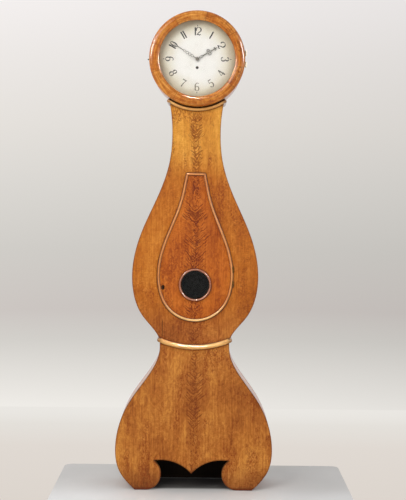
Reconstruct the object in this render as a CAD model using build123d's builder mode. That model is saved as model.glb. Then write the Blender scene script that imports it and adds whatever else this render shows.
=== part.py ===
from build123d import *
from math import asin, atan2, cos, degrees, hypot, pi, radians, sin, sqrt
import os

# Long-case clock: a round hood on a pear-shaped waist, on a plinth with scroll feet.
# Frame: millimetres, +Z up, the dial faces -Y, +X is to the right of someone facing the dial.
# Origin: on the floor, under the middle of the clock's overall box.

# ---------------------------------------------------------------- driving dimensions: case
plinth_height = 612.0  # floor to the waist joint, on the centre line
waist_length = 1233.0  # waist joint to the dial's centre
case_depth = 200.0  # face of the front boards to the back
front_board = 18.0
side_board = 9.0
back_board = 12.0

joint_half_width = 148.5  # case at the joint between plinth and waist
joint_arc_radius = 387.0  # the joint dips in the middle, on this radius

plinth_shoulder_half_width = 208.0
plinth_shoulder_height = 472.0
plinth_hip_half_width = 282.0
plinth_hip_height = 366.0
plinth_half_width = 335.5  # widest place
plinth_widest_height = 186.0
plinth_heel_half_width = 317.5
plinth_heel_height = 80.0
sole_half_width = 250.0  # outer edge of the sole
sole_slope = 1.1  # sideways run of the side for each millimetre of rise

foot_radius = 68.0  # scroll of a foot
foot_centre = 198.0  # scroll's centre, out from the middle
foot_cusp_angle = 122.0  # where the scroll meets the arch, from +X
arch_radius = 177.0
arch_tip_height = 71.0
arch_shift = -9.0  # the arch was cut this far off the centre line

waist_foot_slope = 0.35  # sideways run for each millimetre of rise, at the joint
waist_foot_half_width = 167.0
waist_foot_rise = 64.0  # heights of the waist are rises above the joint
underbelly_half_width = 224.0
underbelly_rise = 133.0
belly_half_width = 269.5
belly_rise = 280.0
shoulder_half_width = 231.0
shoulder_rise = 491.0
throat_half_width = 163.0
throat_rise = 644.0
neck_flare_half_width = 113.0
neck_flare_drop = 436.0  # heights of the neck are drops below the dial's centre
neck_half_width = 103.5  # narrowest place
neck_drop = 342.0
neck_top_half_width = 119.0
neck_top_drop = 172.0
neck_top_slope = 0.22  # sideways run for each millimetre of rise

collar_projection = 12.0
neck_collar_width = 17.0
neck_collar_inset = 3.0  # its corners turn this far inside the neck's top edge
waist_collar_width = 20.0

glue_block = 26.0
glue_block_length = 70.0

# ---------------------------------------------------------------- driving dimensions: door
door_top_half_width = 37.0  # half-widths and rises of the bead's centre line
door_top_rise = 740.0
door_taper_half_width = 61.0
door_taper_rise = 627.0
door_shoulder_half_width = 136.0
door_shoulder_rise = 428.0
door_half_width = 157.0
door_widest_rise = 302.0
door_heel_half_width = 104.0
door_heel_rise = 156.5
door_bottom_rise = 115.0
door_top_slope = 0.2
door_gap = 1.2
bead_width = 9.5
bead_projection = 6.0
mitre_joint = 0.05

porthole_rise = 267.0
porthole_radius = 60.5
porthole_ring_width = 9.0
porthole_ring_projection = 9.0
porthole_hole_margin = 1.0  # hole in the panel, larger than the ring's opening
glass_thickness = 2.0
glass_rebate = 5.5  # width of the glass's seat
glass_rebate_depth = 8.0
glass_clearance = 0.2

keyhole_offset = 137.5  # keyhole's centre, left of the centre line
keyhole_rise = 259.0
keyhole_radius = 3.0
keyhole_slot = 8.0
escutcheon_radius = 6.5
escutcheon_length = 19.0
escutcheon_thickness = 0.8
lock_width = 34.0
lock_height = 46.0
lock_depth = 10.0
lock_wall = 1.5
bolt_height = 10.0
bolt_thickness = 3.5
bolt_length = 26.0
bolt_clearance = 0.3

hinge_spacing = 62.0  # between the middles of the door's two hinges
hinge_length = 24.0
knuckle_radius = 2.5
hinge_pin_radius = 1.2
hinge_pin_clearance = 0.05
hinge_leaf = 1.6
hinge_leaf_depth = 14.0
hinge_gap = 0.1  # each leaf, from the plane of the axis
leaf_swing_room = 4.0  # cleared from the front beside the door's leaves
leaf_swing_depth = 0.5  # and behind them
knuckle_clearance = 0.5

# ---------------------------------------------------------------- driving dimensions: hood
bezel_radius = 205.0
bezel_aperture = 162.0
bezel_depth = 24.0
bezel_rim = 7.0  # straight outer edge, before the round starts
bezel_lip = 15.0  # inner edge, from the bezel's back
bezel_crown_share = 0.45  # crown of the round, from the outer edge
bezel_gap = 0.4
drum_radius = 203.0
drum_wall = 9.0
hood_ring_thickness = 12.0
hood_ring_aperture = 171.0
hood_lip = 1.6  # hood's face, in front of the case
saddle_gap = 2.5
slot_half_width = 108.0  # open bottom of the drum
hood_back_gap = 4.0

bezel_glass_seat = 5.0
bezel_glass_drop = 9.0  # glass, in from the bezel's back
putty_margin = 1.0
bezel_pull_radius = 3.0
bezel_pull_drop = 6.0
bezel_hinge_spacing = 48.0
bezel_hinge_axis_gap = 2.8  # axis, outside the bezel's edge
bezel_hinge_leaf_length = 17.0
bezel_hinge_leaf_thickness = 1.2

cheek_half_width = 94.0
cheek_thickness = 12.0
cheek_drop = 345.0
hood_rail_width = 11.0
hood_rail_height = 12.0
hood_rail_drop = 162.0
runner_height = 12.0
runner_clearance = 4.0  # runner, from the cheek

# ---------------------------------------------------------------- driving dimensions: dial and hands
dial_radius = 178.0
dial_thickness = 1.5
dial_setback = 41.0  # dial's face, behind the bezel's front
dial_hole_radius = 7.0
winding_hole_radius = 6.0
post_radius = 3.0
post_spread_x = 36.0
post_spread_z = 46.0

minute_hand_length = 124.0
minute_hand_angle = 302.0  # clockwise from twelve
hour_hand_length = 102.0
hour_hand_angle = 59.5
hand_thickness = 1.2
hand_wire = 1.6  # width of a loop's wire, and half the width of a bar
hand_boss_radius = 7.5
hour_hand_gap = 4.0  # hour hand, in front of the dial
minute_hand_gap = 9.0
fit_clearance = 0.02  # hand on its pipe
# Loops of the pierced hands: place along the hand and half-height, place and half-width across it.
minute_hand_loops = (
    (0.203, 6.6, 0.0, 5.6),
    (0.304, 6.6, 0.0, 6.4),
    (0.405, 6.6, 0.0, 6.0),
    (0.506, 6.6, 0.0, 4.8),
    (0.83, 5.0, 0.0, 3.4),
)
minute_hand_bars = ((0.0, 0.155), (0.552, 0.8))  # starts and ends along the hand
minute_hand_point = 0.862  # start of the pointed tip
hour_hand_loops = (
    (0.2, 9.5, 0.0, 5.2),
    (0.57, 6.5, 7.8, 6.0),
    (0.57, 6.5, -7.8, 6.0),
    (0.57, 12.0, 0.0, 4.4),
    (0.86, 3.4, 4.2, 3.2),
    (0.86, 3.4, -4.2, 3.2),
)
hour_hand_bars = ((0.0, 0.12), (0.285, 0.46), (0.68, 0.9))
hour_hand_point = 0.9
hand_nut_radius = 4.5
hand_nut_height = 3.5

# ---------------------------------------------------------------- driving dimensions: movement
motion_space = 18.5  # dial's back to the front plate
plate_thickness = 2.5
plate_space = 60.0
plate_half_width = 46.0
plate_above = 84.0  # plate's top edge above the dial's centre
plate_below = 75.0
pillar_radius = 4.0
pillar_inset = 8.0
seat_board_thickness = 18.0
seat_board_depth = 82.0
seat_board_front_gap = 6.0
line_hole_radius = 7.0

great_wheel_teeth = 84
centre_pinion_leaves = 7
great_module = 0.8
centre_wheel_teeth = 64
third_pinion_leaves = 8
third_wheel_teeth = 60
escape_pinion_leaves = 8
train_module = 0.7
cannon_leaves = 14
minute_wheel_teeth = 42
cannon_module = 0.75
minute_pinion_leaves = 12
hour_wheel_teeth = 48
hour_module = 0.7
escape_teeth = 30
escape_radius = 20.0
escape_tooth_depth = 3.0
escape_tooth_rake = 0.25  # root of a tooth, as a share of the pitch from its tip
escape_rise = 29.0  # above the dial's centre
anchor_rise = 60.0
anchor_pallet_gap = 1.6
anchor_span = 45.0
anchor_width = 5.0
wheel_thickness = 2.0
pinion_length = 5.0
arbor_radius = 1.5
pivot_clearance = 0.05
pipe_clearance = 0.1
cannon_pipe_wall = 2.0
hour_pipe_wall = 1.3
wheel_gap = 1.0  # room between neighbours along the depth
wheel_arms = 4
great_wheel_arms = 6
arm_width = 3.0
rim_width = 4.0
wheel_hub_radius = 6.0
tooth_root = 0.5  # a wheel tooth's width at root and tip, as shares of the pitch
tooth_tip = 0.2
leaf_root = 0.42  # a pinion leaf's
leaf_tip = 0.16
addendum = 0.85  # tooth above and below the pitch circle, in modules
dedendum = 1.25
stud_gap = 2.0  # minute wheel's stud, short of the dial
anchor_plate_hole = 4.0
barrel_radius = 20.0
barrel_length = 26.0
barrel_gap = 13.5  # barrel, behind the front plate
barrel_flange = 3.0
barrel_flange_thickness = 1.5
barrel_arbor_radius = 3.0
ratchet_teeth = 24
ratchet_radius = 14.0
ratchet_thickness = 2.0
click_clearance = 0.4
click_pivot_angle = 60.0
click_pivot_radius = 22.0
click_thickness = 2.5
click_width = 3.0
click_length = 16.0
click_lean = 40.0  # inward, from the tangent
click_pin_radius = 1.2
line_radius = 0.75
line_clearance = 0.3  # line, from the barrel
winding_square = 5.0

cock_height = 12.0
cock_foot = 6.0
cock_half_width = 22.0
cock_bar = 4.0
cock_reach = 13.0  # bar, behind the back plate
cock_tongue_half_width = 4.0
pendulum_setback = 38.0  # pendulum, behind the back plate
spring_thickness = 0.3
spring_width = 8.0
spring_length = 20.0
spring_slit = 1.4
spring_pin_radius = 0.8
spring_pin_gap = 0.4
crutch_length = 90.0
crutch_thickness = 2.0
crutch_clearance = 0.3
rod_radius = 3.0
rod_tail = 34.0  # rod below the bob
bob_radius = 58.0
bob_thickness = 24.0
bob_bore_clearance = 0.05
rating_nut_radius = 9.0
rating_nut_height = 8.0
rating_nut_sides = 8

weight_radius = 28.0
weight_length = 200.0
weight_drop = 345.0  # weight's top below the dial's centre, part run down
weight_hook_radius = 8.0
weight_hook_wire = 2.0
weight_crown = 12.0
crown_radius = 45.0

wall_screw_radius = 3.0
wall_screw_drop = 240.0
back_floor_gap = 2.0

# ---------------------------------------------------------------- places worked out from the sizes
hood_height = plinth_height + waist_length
hood_projection = bezel_depth + bezel_gap + hood_ring_thickness + hood_lip
overall_depth = hood_projection + case_depth
bezel_front = -overall_depth / 2
bezel_back = bezel_front + bezel_depth
hood_ring_front = bezel_back + bezel_gap
hood_ring_back = hood_ring_front + hood_ring_thickness
case_front = bezel_front + hood_projection
case_back = overall_depth / 2
inside_front = case_front + front_board
inside_back = case_back - back_board
saddle_radius = drum_radius + saddle_gap
drum_bore = drum_radius - drum_wall
joint_arc_centre = plinth_height + joint_arc_radius
joint_side_height = joint_arc_centre - sqrt(joint_arc_radius**2 - joint_half_width**2)
porthole_height = plinth_height + porthole_rise
dial_front = bezel_front + dial_setback
dial_back = dial_front + dial_thickness
front_plate_front = dial_back + motion_space
front_plate_back = front_plate_front + plate_thickness
back_plate_front = front_plate_back + plate_space
back_plate_back = back_plate_front + plate_thickness
trim = 60.0  # how far a side curve runs past the joint that trims it
curve_steps = 24  # points that carry a smooth curve when it is moved sideways


def facing(depth):
    """Sketch plane as seen from the front, at a depth; extrusions from it come forward."""
    return Plane.XZ.offset(-depth)


def mirrored_region(points, tangents, out, low_end, high_end):
    """Closed face between a smooth right-hand curve, low end first, and its mirror image.

    The curve is moved out sideways, and run on straight from its ends to the two heights.
    """
    with BuildLine(mode=Mode.PRIVATE):
        curve = Spline(*points, tangents=tangents, tangent_scalars=(1, 1))
    moved = []
    for step in range(curve_steps + 1):
        along = curve % (step / curve_steps)
        moved.append(curve @ (step / curve_steps) + Vector(along.Y, -along.X) * out)
    low = moved[0] + (curve % 0) * ((low_end - moved[0].Y) / (curve % 0).Y) if low_end else moved[0]
    high = moved[-1] + (curve % 1) * ((high_end - moved[-1].Y) / (curve % 1).Y)
    with BuildSketch() as face:
        with BuildLine():
            Spline(*(moved if out else points), tangents=(curve % 0, curve % 1), tangent_scalars=(1, 1))
            if out or low_end:
                Line(moved[-1], high)
            if low_end:
                Line(low, moved[0])
            mirror(about=Plane.YZ)
            if low_end:
                Line((-low.X, low.Y), low)
            Line(high, (-high.X, high.Y))
        make_face()
    return face.sketch


def waist_region(inset=0.0):
    """Waist and neck seen from the front, untrimmed at both ends."""
    points = [
        (joint_half_width, joint_side_height),
        (waist_foot_half_width, plinth_height + waist_foot_rise),
        (underbelly_half_width, plinth_height + underbelly_rise),
        (belly_half_width, plinth_height + belly_rise),
        (shoulder_half_width, plinth_height + shoulder_rise),
        (throat_half_width, plinth_height + throat_rise),
        (neck_flare_half_width, hood_height - neck_flare_drop),
        (neck_half_width, hood_height - neck_drop),
        (neck_top_half_width, hood_height - neck_top_drop),
    ]
    tangents = [(waist_foot_slope, 1), (neck_top_slope, 1)]
    top = hood_height - neck_top_drop + trim / 2
    return mirrored_region(points, tangents, -inset, plinth_height - trim, top)


def plinth_region(inset=0.0):
    """Plinth seen from the front, untrimmed at the joint and running on below the floor."""
    points = [
        (sole_half_width, 0),
        (plinth_heel_half_width, plinth_heel_height),
        (plinth_half_width, plinth_widest_height),
        (plinth_hip_half_width, plinth_hip_height),
        (plinth_shoulder_half_width, plinth_shoulder_height),
        (joint_half_width, plinth_height),
    ]
    tangents = [(sole_slope, 1), (0, 1)]
    top = plinth_height + 2 * trim
    return mirrored_region(points, tangents, -inset, -trim, top)


def below_joint():
    """All that lies under the arc of the waist joint, to trim the waist from the plinth."""
    with BuildSketch() as cut:
        with Locations((0, plinth_height - trim)):
            Rectangle(4 * joint_half_width, 4 * trim)
        with Locations((0, joint_arc_centre)):
            Circle(joint_arc_radius, mode=Mode.SUBTRACT)
    return cut.sketch


def half_plane(direction, reach):
    """Everything on one side of the middle plane: direction 1 is right, -1 is left."""
    with BuildSketch() as half:
        with Locations((direction * reach / 2, reach / 2)):
            Rectangle(reach, 2 * reach)
    return half.sketch


door_points = [
    (0, plinth_height + door_bottom_rise),
    (door_heel_half_width, plinth_height + door_heel_rise),
    (door_half_width, plinth_height + door_widest_rise),
    (door_shoulder_half_width, plinth_height + door_shoulder_rise),
    (door_taper_half_width, plinth_height + door_taper_rise),
    (door_top_half_width, plinth_height + door_top_rise),
]
door_tangents = [(1, 0), (-door_top_slope, 1)]


def door_region(margin):
    """Door seen from the front: the bead's centre line, moved out by a margin."""
    top = plinth_height + door_top_rise + margin
    return mirrored_region(door_points, door_tangents, margin, None, top)


def save(piece, name):
    """Label a finished piece and write it as one node."""
    piece.part.label = name
    export_step(piece.part, f"parts/{name}.step")


# ---------------------------------------------------------------- plinth
plinth_inner = plinth_region(side_board)
plinth_outer = plinth_region()
reach = 2 * plinth_half_width + hood_height

# Front board, cut below into two scroll feet with a pointed double arch between them.
cusp_x = foot_centre + foot_radius * cos(radians(foot_cusp_angle))
cusp_z = foot_radius + foot_radius * sin(radians(foot_cusp_angle))
with BuildPart() as plinth_front:
    with BuildSketch(facing(inside_front)):
        add(plinth_outer)
        with Locations((0, joint_arc_centre)):
            Circle(joint_arc_radius, mode=Mode.SUBTRACT)
        with Locations((0, -trim)):
            Rectangle(reach, 2 * trim, mode=Mode.SUBTRACT)
        with BuildSketch(mode=Mode.PRIVATE) as arch:
            with BuildLine():
                for way in (1, -1):
                    foot_x = arch_shift + way * foot_centre
                    scroll_mid = (foot_x - way * foot_radius, foot_radius)
                    cusp = (arch_shift + way * cusp_x, cusp_z)
                    ThreePointArc((foot_x, 0), scroll_mid, cusp)
                    RadiusArc(cusp, (arch_shift, arch_tip_height), -way * arch_radius)
                Line((arch_shift - foot_centre, 0), (arch_shift + foot_centre, 0))
            make_face()
        add(arch.sketch, mode=Mode.SUBTRACT)
    extrude(amount=front_board)
save(plinth_front, "plinth_front")

for name, way in (("plinth_side_left", -1), ("plinth_side_right", 1)):
    with BuildPart() as plinth_side:
        with BuildSketch(facing(case_back)):
            add(plinth_outer)
            add(plinth_inner, mode=Mode.SUBTRACT)
            with Locations((0, joint_arc_centre)):
                Circle(joint_arc_radius, mode=Mode.SUBTRACT)
            with Locations((0, -trim)):
                Rectangle(reach, 2 * trim, mode=Mode.SUBTRACT)
            add(half_plane(way, reach), mode=Mode.INTERSECT)
        extrude(amount=case_depth - front_board)
    save(plinth_side, name)

with BuildPart() as plinth_back:
    with BuildSketch(facing(case_back)):
        add(plinth_inner)
        with Locations((0, joint_arc_centre)):
            Circle(joint_arc_radius, mode=Mode.SUBTRACT)
        with Locations((0, back_floor_gap - trim)):
            Rectangle(reach, 2 * trim, mode=Mode.SUBTRACT)
    extrude(amount=back_board)
save(plinth_back, "plinth_back")

# ---------------------------------------------------------------- waist
waist_outer = waist_region()
waist_inner = waist_region(side_board)
joint_cut = below_joint()
door_opening = door_region(bead_width / 2 + door_gap)

# Door hinges stand where the door is widest, with their axis just in front of the boards.
door_edge = door_half_width + bead_width / 2
door_axis_x = door_edge + door_gap / 2
door_axis_y = case_front - knuckle_radius
door_hinge_heights = [
    plinth_height + door_widest_rise + way * hinge_spacing / 2 for way in (-1, 1)
]
notch_radius = knuckle_radius + knuckle_clearance
leaf_back = case_front + hinge_leaf_depth


def door_leaf_boxes(side):
    """Recesses for the door hinges' leaves: side 1 is the case's, -1 is the door's."""
    leaf_x = door_axis_x + side * (hinge_gap + hinge_leaf / 2)
    with BuildPart() as boxes:
        for height in door_hinge_heights:
            with Locations((leaf_x, (door_axis_y + leaf_back) / 2, height)):
                Box(hinge_leaf, leaf_back - door_axis_y, hinge_length)
    return boxes.part


def door_leaf_swing():
    """Wood cleared from the front where the door's leaves turn out of it."""
    width = hinge_leaf + leaf_swing_room
    length = leaf_back + leaf_swing_depth - door_axis_y
    with BuildPart() as boxes:
        for height in door_hinge_heights:
            with Locations((door_axis_x - hinge_gap - width / 2, door_axis_y + length / 2, height)):
                Box(width, length, hinge_length)
    return boxes.part


def door_knuckle_notches():
    """Round notches around the door hinges' knuckles."""
    with BuildPart() as notches:
        for height in door_hinge_heights:
            with Locations((door_axis_x, door_axis_y, height)):
                Cylinder(notch_radius, hinge_length + 2 * knuckle_clearance)
    return notches.part


with BuildPart() as waist_front:
    with BuildSketch(facing(inside_front)):
        add(waist_outer)
        add(joint_cut, mode=Mode.SUBTRACT)
        with Locations((0, hood_height)):
            Circle(saddle_radius, mode=Mode.SUBTRACT)
        add(door_opening, mode=Mode.SUBTRACT)
    extrude(amount=front_board)
    add(door_leaf_boxes(1), mode=Mode.SUBTRACT)
    add(door_leaf_swing(), mode=Mode.SUBTRACT)
    add(door_knuckle_notches(), mode=Mode.SUBTRACT)
save(waist_front, "waist_front")

for name, way in (("waist_side_left", -1), ("waist_side_right", 1)):
    with BuildPart() as waist_side:
        with BuildSketch(facing(case_back)):
            add(waist_outer)
            add(waist_inner, mode=Mode.SUBTRACT)
            add(joint_cut, mode=Mode.SUBTRACT)
            with Locations((0, hood_height)):
                Circle(saddle_radius, mode=Mode.SUBTRACT)
            add(half_plane(way, reach), mode=Mode.INTERSECT)
        extrude(amount=case_depth - front_board)
    save(waist_side, name)

# The back board runs up through the drum's open bottom to the round board behind the hood.
cheek_inner = cheek_half_width - cheek_thickness
back_joint_height = hood_height - hood_rail_drop + hood_rail_height
with BuildPart() as waist_back:
    with BuildSketch(facing(case_back)):
        add(waist_inner)
        add(joint_cut, mode=Mode.SUBTRACT)
        with Locations((0, hood_height)):
            Circle(saddle_radius, mode=Mode.SUBTRACT)
        tongue_bottom = hood_height - cheek_drop
        with Locations((0, (tongue_bottom + back_joint_height) / 2)):
            Rectangle(2 * cheek_half_width, back_joint_height - tongue_bottom)
    extrude(amount=back_board)
    screw_height = hood_height - saddle_radius - wall_screw_drop
    with Locations(Plane((0, inside_back, screw_height), x_dir=(1, 0, 0), z_dir=(0, -1, 0))):
        Hole(wall_screw_radius, depth=back_board)
save(waist_back, "waist_back")

with BuildPart() as hood_back:
    with BuildSketch(facing(case_back)):
        with Locations((0, hood_height)):
            Circle(drum_bore - hood_back_gap)
        with Locations((0, back_joint_height - reach / 2)):
            Rectangle(reach, reach, mode=Mode.SUBTRACT)
    extrude(amount=back_board)
save(hood_back, "hood_back")

# ---------------------------------------------------------------- glue blocks
with BuildPart() as glue_blocks:
    for inner, height, half_width in (
        (plinth_inner, plinth_widest_height, plinth_half_width),
        (plinth_inner, plinth_hip_height, plinth_hip_half_width),
        (waist_inner, plinth_height + belly_rise, belly_half_width),
        (waist_inner, hood_height - neck_flare_drop, neck_flare_half_width),
    ):
        clear_half_width = half_width - side_board - glue_block
        with BuildSketch(facing(inside_front + glue_block)):
            add(inner)
            with Locations((0, height)):
                Rectangle(reach, glue_block_length, mode=Mode.INTERSECT)
                Rectangle(2 * clear_half_width, glue_block_length, mode=Mode.SUBTRACT)
        extrude(amount=glue_block)
save(glue_blocks, "glue_blocks")


# ---------------------------------------------------------------- collars
def half_round(width, projection):
    """Section of a half-round moulding: its flat side on the local X axis, round side up."""
    with BuildSketch() as section:
        Ellipse(width / 2, projection)
        with Locations((0, -projection)):
            Rectangle(2 * width, 2 * projection, mode=Mode.SUBTRACT)
    return section.sketch


def collar(arc_height, arc_radius, end_x, width, trimmed_by):
    """Half-round moulding along an arc of the front, round the corners and along the sides."""
    end_height = arc_height - sqrt(arc_radius**2 - end_x**2)
    corner = (end_x, case_front, end_height)
    with BuildPart() as moulding:
        with BuildSketch(
            Plane((0, case_front, arc_height - arc_radius), x_dir=(0, 0, 1), z_dir=(1, 0, 0))
        ):
            add(half_round(width, collar_projection))
        front_axis = Axis((0, 0, arc_height), (0, -1, 0))
        revolve(axis=front_axis, revolution_arc=degrees(asin(end_x / arc_radius)))
        with BuildSketch(Plane(corner, x_dir=(0, 0, 1), z_dir=(1, 0, 0))):
            add(half_round(width, collar_projection))
        revolve(axis=Axis(corner, (0, 0, 1)), revolution_arc=90)
        with BuildSketch(Plane(corner, x_dir=(0, 0, 1), z_dir=(0, 1, 0))):
            add(half_round(width, collar_projection))
        extrude(amount=case_depth)
        mirror(about=Plane.YZ)
        for face in trimmed_by:
            with BuildSketch(facing(case_back)):
                add(face)
            extrude(amount=case_depth, mode=Mode.SUBTRACT)
    return moulding


waist_collar = collar(
    joint_arc_centre, joint_arc_radius, joint_half_width, waist_collar_width, (waist_outer, plinth_outer)
)
save(waist_collar, "waist_collar")

neck_collar = collar(
    hood_height,
    saddle_radius + neck_collar_width / 2,
    neck_top_half_width - neck_collar_inset,
    neck_collar_width,
    (waist_outer,),
)
save(neck_collar, "neck_collar")

# ---------------------------------------------------------------- door
porthole_hole = porthole_radius + porthole_hole_margin
glass_seat_radius = porthole_hole + glass_rebate
glass_front = inside_front - glass_rebate_depth
keyhole_height = plinth_height + keyhole_rise
porthole_axis = Axis((0, 0, porthole_height), (0, 1, 0))


def keyhole_shape():
    """Keyhole: a round hole with a slot under it."""
    with BuildSketch() as hole:
        with Locations((-keyhole_offset, keyhole_height)):
            Circle(keyhole_radius)
        with Locations((-keyhole_offset, keyhole_height - keyhole_slot / 2)):
            Rectangle(keyhole_radius, keyhole_slot)
    return hole.sketch


with BuildPart() as door_panel:
    with BuildSketch(facing(inside_front)):
        add(door_region(bead_width / 2))
        with Locations((0, porthole_height)):
            Circle(porthole_hole, mode=Mode.SUBTRACT)
        add(keyhole_shape(), mode=Mode.SUBTRACT)
    extrude(amount=front_board)
    with BuildSketch(facing(inside_front)):
        with Locations((0, porthole_height)):
            Circle(glass_seat_radius)
    extrude(amount=glass_rebate_depth, mode=Mode.SUBTRACT)
    add(door_leaf_boxes(-1), mode=Mode.SUBTRACT)
    add(door_knuckle_notches(), mode=Mode.SUBTRACT)
save(door_panel, "door_panel")

# Bead: half-round, in two lengths that meet at the top corners' mitres; shaped at depth zero and
# then set on the door.
bead_start_plane = Plane((0, 0, door_points[0][1]), x_dir=(0, 0, 1), z_dir=(1, 0, 0))
bead_top_plane = Plane((0, 0, door_points[-1][1]), x_dir=(0, 0, 1), z_dir=(1, 0, 0))
up_side = Vector(-door_top_slope, 0, 1).normalized()
mitre = Plane(
    (door_top_half_width, 0, door_points[-1][1]),
    z_dir=(up_side + Vector(1, 0, 0)).cross(Vector(0, 1, 0)),
)
with BuildPart() as bead_side:
    with BuildLine(Plane.XZ) as bead_line:
        Spline(*door_points, tangents=door_tangents, tangent_scalars=(1, 1))
        Line(
            door_points[-1],
            (door_points[-1][0] - door_top_slope * bead_width, door_points[-1][1] + bead_width),
        )
    with BuildSketch(bead_start_plane):
        add(half_round(bead_width, bead_projection))
    sweep(path=bead_line.wire())
    split(bisect_by=mitre, keep=Keep.BOTTOM)
with BuildPart() as bead_top:
    with BuildSketch(bead_top_plane):
        add(half_round(bead_width, bead_projection))
    extrude(amount=door_top_half_width + bead_width)
    split(bisect_by=mitre.offset(mitre_joint), keep=Keep.TOP)
with BuildPart() as door_bead:
    with Locations((0, case_front, 0)):
        add(bead_side.part)
        add(bead_top.part)
    mirror(about=Plane.YZ)
    add(door_knuckle_notches(), mode=Mode.SUBTRACT)
save(door_bead, "door_bead")

with BuildPart() as porthole_ring:
    ring_middle = porthole_radius + porthole_ring_width / 2
    with BuildSketch(
        Plane((ring_middle, case_front, porthole_height), x_dir=(1, 0, 0), z_dir=(0, 0, -1))
    ):
        add(half_round(porthole_ring_width, porthole_ring_projection))
    revolve(axis=porthole_axis)
save(porthole_ring, "porthole_ring")

with BuildPart() as porthole_glass:
    with BuildSketch(facing(glass_front + glass_thickness)):
        with Locations((0, porthole_height)):
            Circle(glass_seat_radius - glass_clearance)
    extrude(amount=glass_thickness)
save(porthole_glass, "porthole_glass")

with BuildPart() as porthole_retainer:
    with BuildSketch(facing(inside_front)):
        with Locations((0, porthole_height)):
            Circle(glass_seat_radius)
            Circle(porthole_hole, mode=Mode.SUBTRACT)
    extrude(amount=glass_rebate_depth - glass_thickness)
save(porthole_retainer, "porthole_retainer")

with BuildPart() as lock_escutcheon:
    with BuildSketch(facing(case_front)):
        with Locations((-keyhole_offset, keyhole_height - keyhole_slot / 2)):
            SlotOverall(escutcheon_length, 2 * escutcheon_radius, rotation=90)
        add(keyhole_shape(), mode=Mode.SUBTRACT)
    extrude(amount=escutcheon_thickness)
save(lock_escutcheon, "lock_escutcheon")

# The bolt is stored withdrawn, and shoots to the left behind the waist's front board.
lock_centre = (-keyhole_offset, inside_front + lock_depth / 2, keyhole_height)
bolt_tip = -keyhole_offset - lock_width / 2
with BuildPart() as lock_case:
    with Locations(lock_centre):
        Box(lock_width, lock_depth, lock_height)
        Box(
            lock_width - 2 * lock_wall,
            lock_depth - 2 * lock_wall,
            lock_height - 2 * lock_wall,
            mode=Mode.SUBTRACT,
        )
    with Locations((bolt_tip, lock_centre[1], keyhole_height)):
        Box(
            4 * lock_wall,
            bolt_thickness + 2 * bolt_clearance,
            bolt_height + 2 * bolt_clearance,
            mode=Mode.SUBTRACT,
        )
    with BuildSketch(facing(inside_front + lock_wall)):
        add(keyhole_shape())
    extrude(amount=lock_wall, mode=Mode.SUBTRACT)
save(lock_case, "lock_case")

with BuildPart() as lock_bolt:
    with Locations((bolt_tip + bolt_length / 2, lock_centre[1], keyhole_height)):
        Box(bolt_length, bolt_thickness, bolt_height)
save(lock_bolt, "lock_bolt")


# ---------------------------------------------------------------- hinges
def hinge_leaves(axis_x, axis_y, heights, length, plate_middle, plate_size, knuckles, pinned):
    """Leaves of one side of several butt hinges, each with its own share of the knuckles."""
    third = length / 3
    with BuildPart() as leaves:
        for height in heights:
            with Locations((axis_x + plate_middle[0], axis_y + plate_middle[1], height)):
                Box(plate_size[0], plate_size[1], length)
            for place in (-1, 0, 1):
                with Locations((axis_x, axis_y, height + place * third)):
                    if place in knuckles:
                        Cylinder(knuckle_radius, third - hinge_gap)
                    else:
                        Cylinder(knuckle_radius + hinge_gap, third + hinge_gap, mode=Mode.SUBTRACT)
            with Locations((axis_x, axis_y, height)):
                Cylinder(hinge_pin_radius + hinge_pin_clearance, 2 * length, mode=Mode.SUBTRACT)
        if pinned:
            for height in heights:
                with Locations((axis_x, axis_y, height)):
                    Cylinder(hinge_pin_radius, length)
    return leaves


leaf_length = leaf_back - door_axis_y
door_leaf_size = (hinge_leaf, leaf_length)
for name, side, knuckles, pinned in (
    ("door_hinge_case_leaves", 1, (-1, 1), True),
    ("door_hinge_door_leaves", -1, (0,), False),
):
    middle = (side * (hinge_gap + hinge_leaf / 2), leaf_length / 2)
    leaves = hinge_leaves(
        door_axis_x, door_axis_y, door_hinge_heights, hinge_length, middle, door_leaf_size, knuckles, pinned
    )
    save(leaves, name)

# The bezel's hinges lie between its back and the hood's ring, each leaf let in flush.
bezel_axis_x = bezel_radius + bezel_hinge_axis_gap
bezel_axis_y = bezel_back + bezel_gap / 2
bezel_hinge_heights = [hood_height + way * bezel_hinge_spacing / 2 for way in (-1, 1)]
bezel_leaf_size = (bezel_hinge_leaf_length, bezel_hinge_leaf_thickness)


def bezel_leaf_middle(side):
    """Middle of a bezel hinge's plate from its axis: side 1 is the hood's, -1 is the bezel's."""
    return (-bezel_hinge_leaf_length / 2, side * (hinge_gap + bezel_hinge_leaf_thickness / 2))


def bezel_leaf_boxes(side):
    """Recesses for the leaves of the bezel's hinges."""
    middle = bezel_leaf_middle(side)
    with BuildPart() as boxes:
        for height in bezel_hinge_heights:
            with Locations((bezel_axis_x + middle[0], bezel_axis_y + middle[1], height)):
                Box(*bezel_leaf_size, hinge_length)
    return boxes.part


for name, side, knuckles, pinned in (
    ("bezel_hinge_hood_leaves", 1, (-1, 1), True),
    ("bezel_hinge_bezel_leaves", -1, (0,), False),
):
    leaves = hinge_leaves(
        bezel_axis_x,
        bezel_axis_y,
        bezel_hinge_heights,
        hinge_length,
        bezel_leaf_middle(side),
        bezel_leaf_size,
        knuckles,
        pinned,
    )
    save(leaves, name)

# ---------------------------------------------------------------- hood
hood_axis = Axis((0, 0, hood_height), (0, 1, 0))
with BuildPart() as hood_drum:
    with BuildSketch(facing(case_back)):
        with Locations((0, hood_height)):
            Circle(drum_radius)
            Circle(drum_bore, mode=Mode.SUBTRACT)
    extrude(amount=case_back - hood_ring_back)
    with BuildSketch(facing(case_back)):
        with Locations((0, hood_height - drum_radius)):
            Rectangle(2 * slot_half_width, 2 * drum_radius)
    extrude(amount=case_back - inside_front, mode=Mode.SUBTRACT)
save(hood_drum, "hood_drum")

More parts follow.
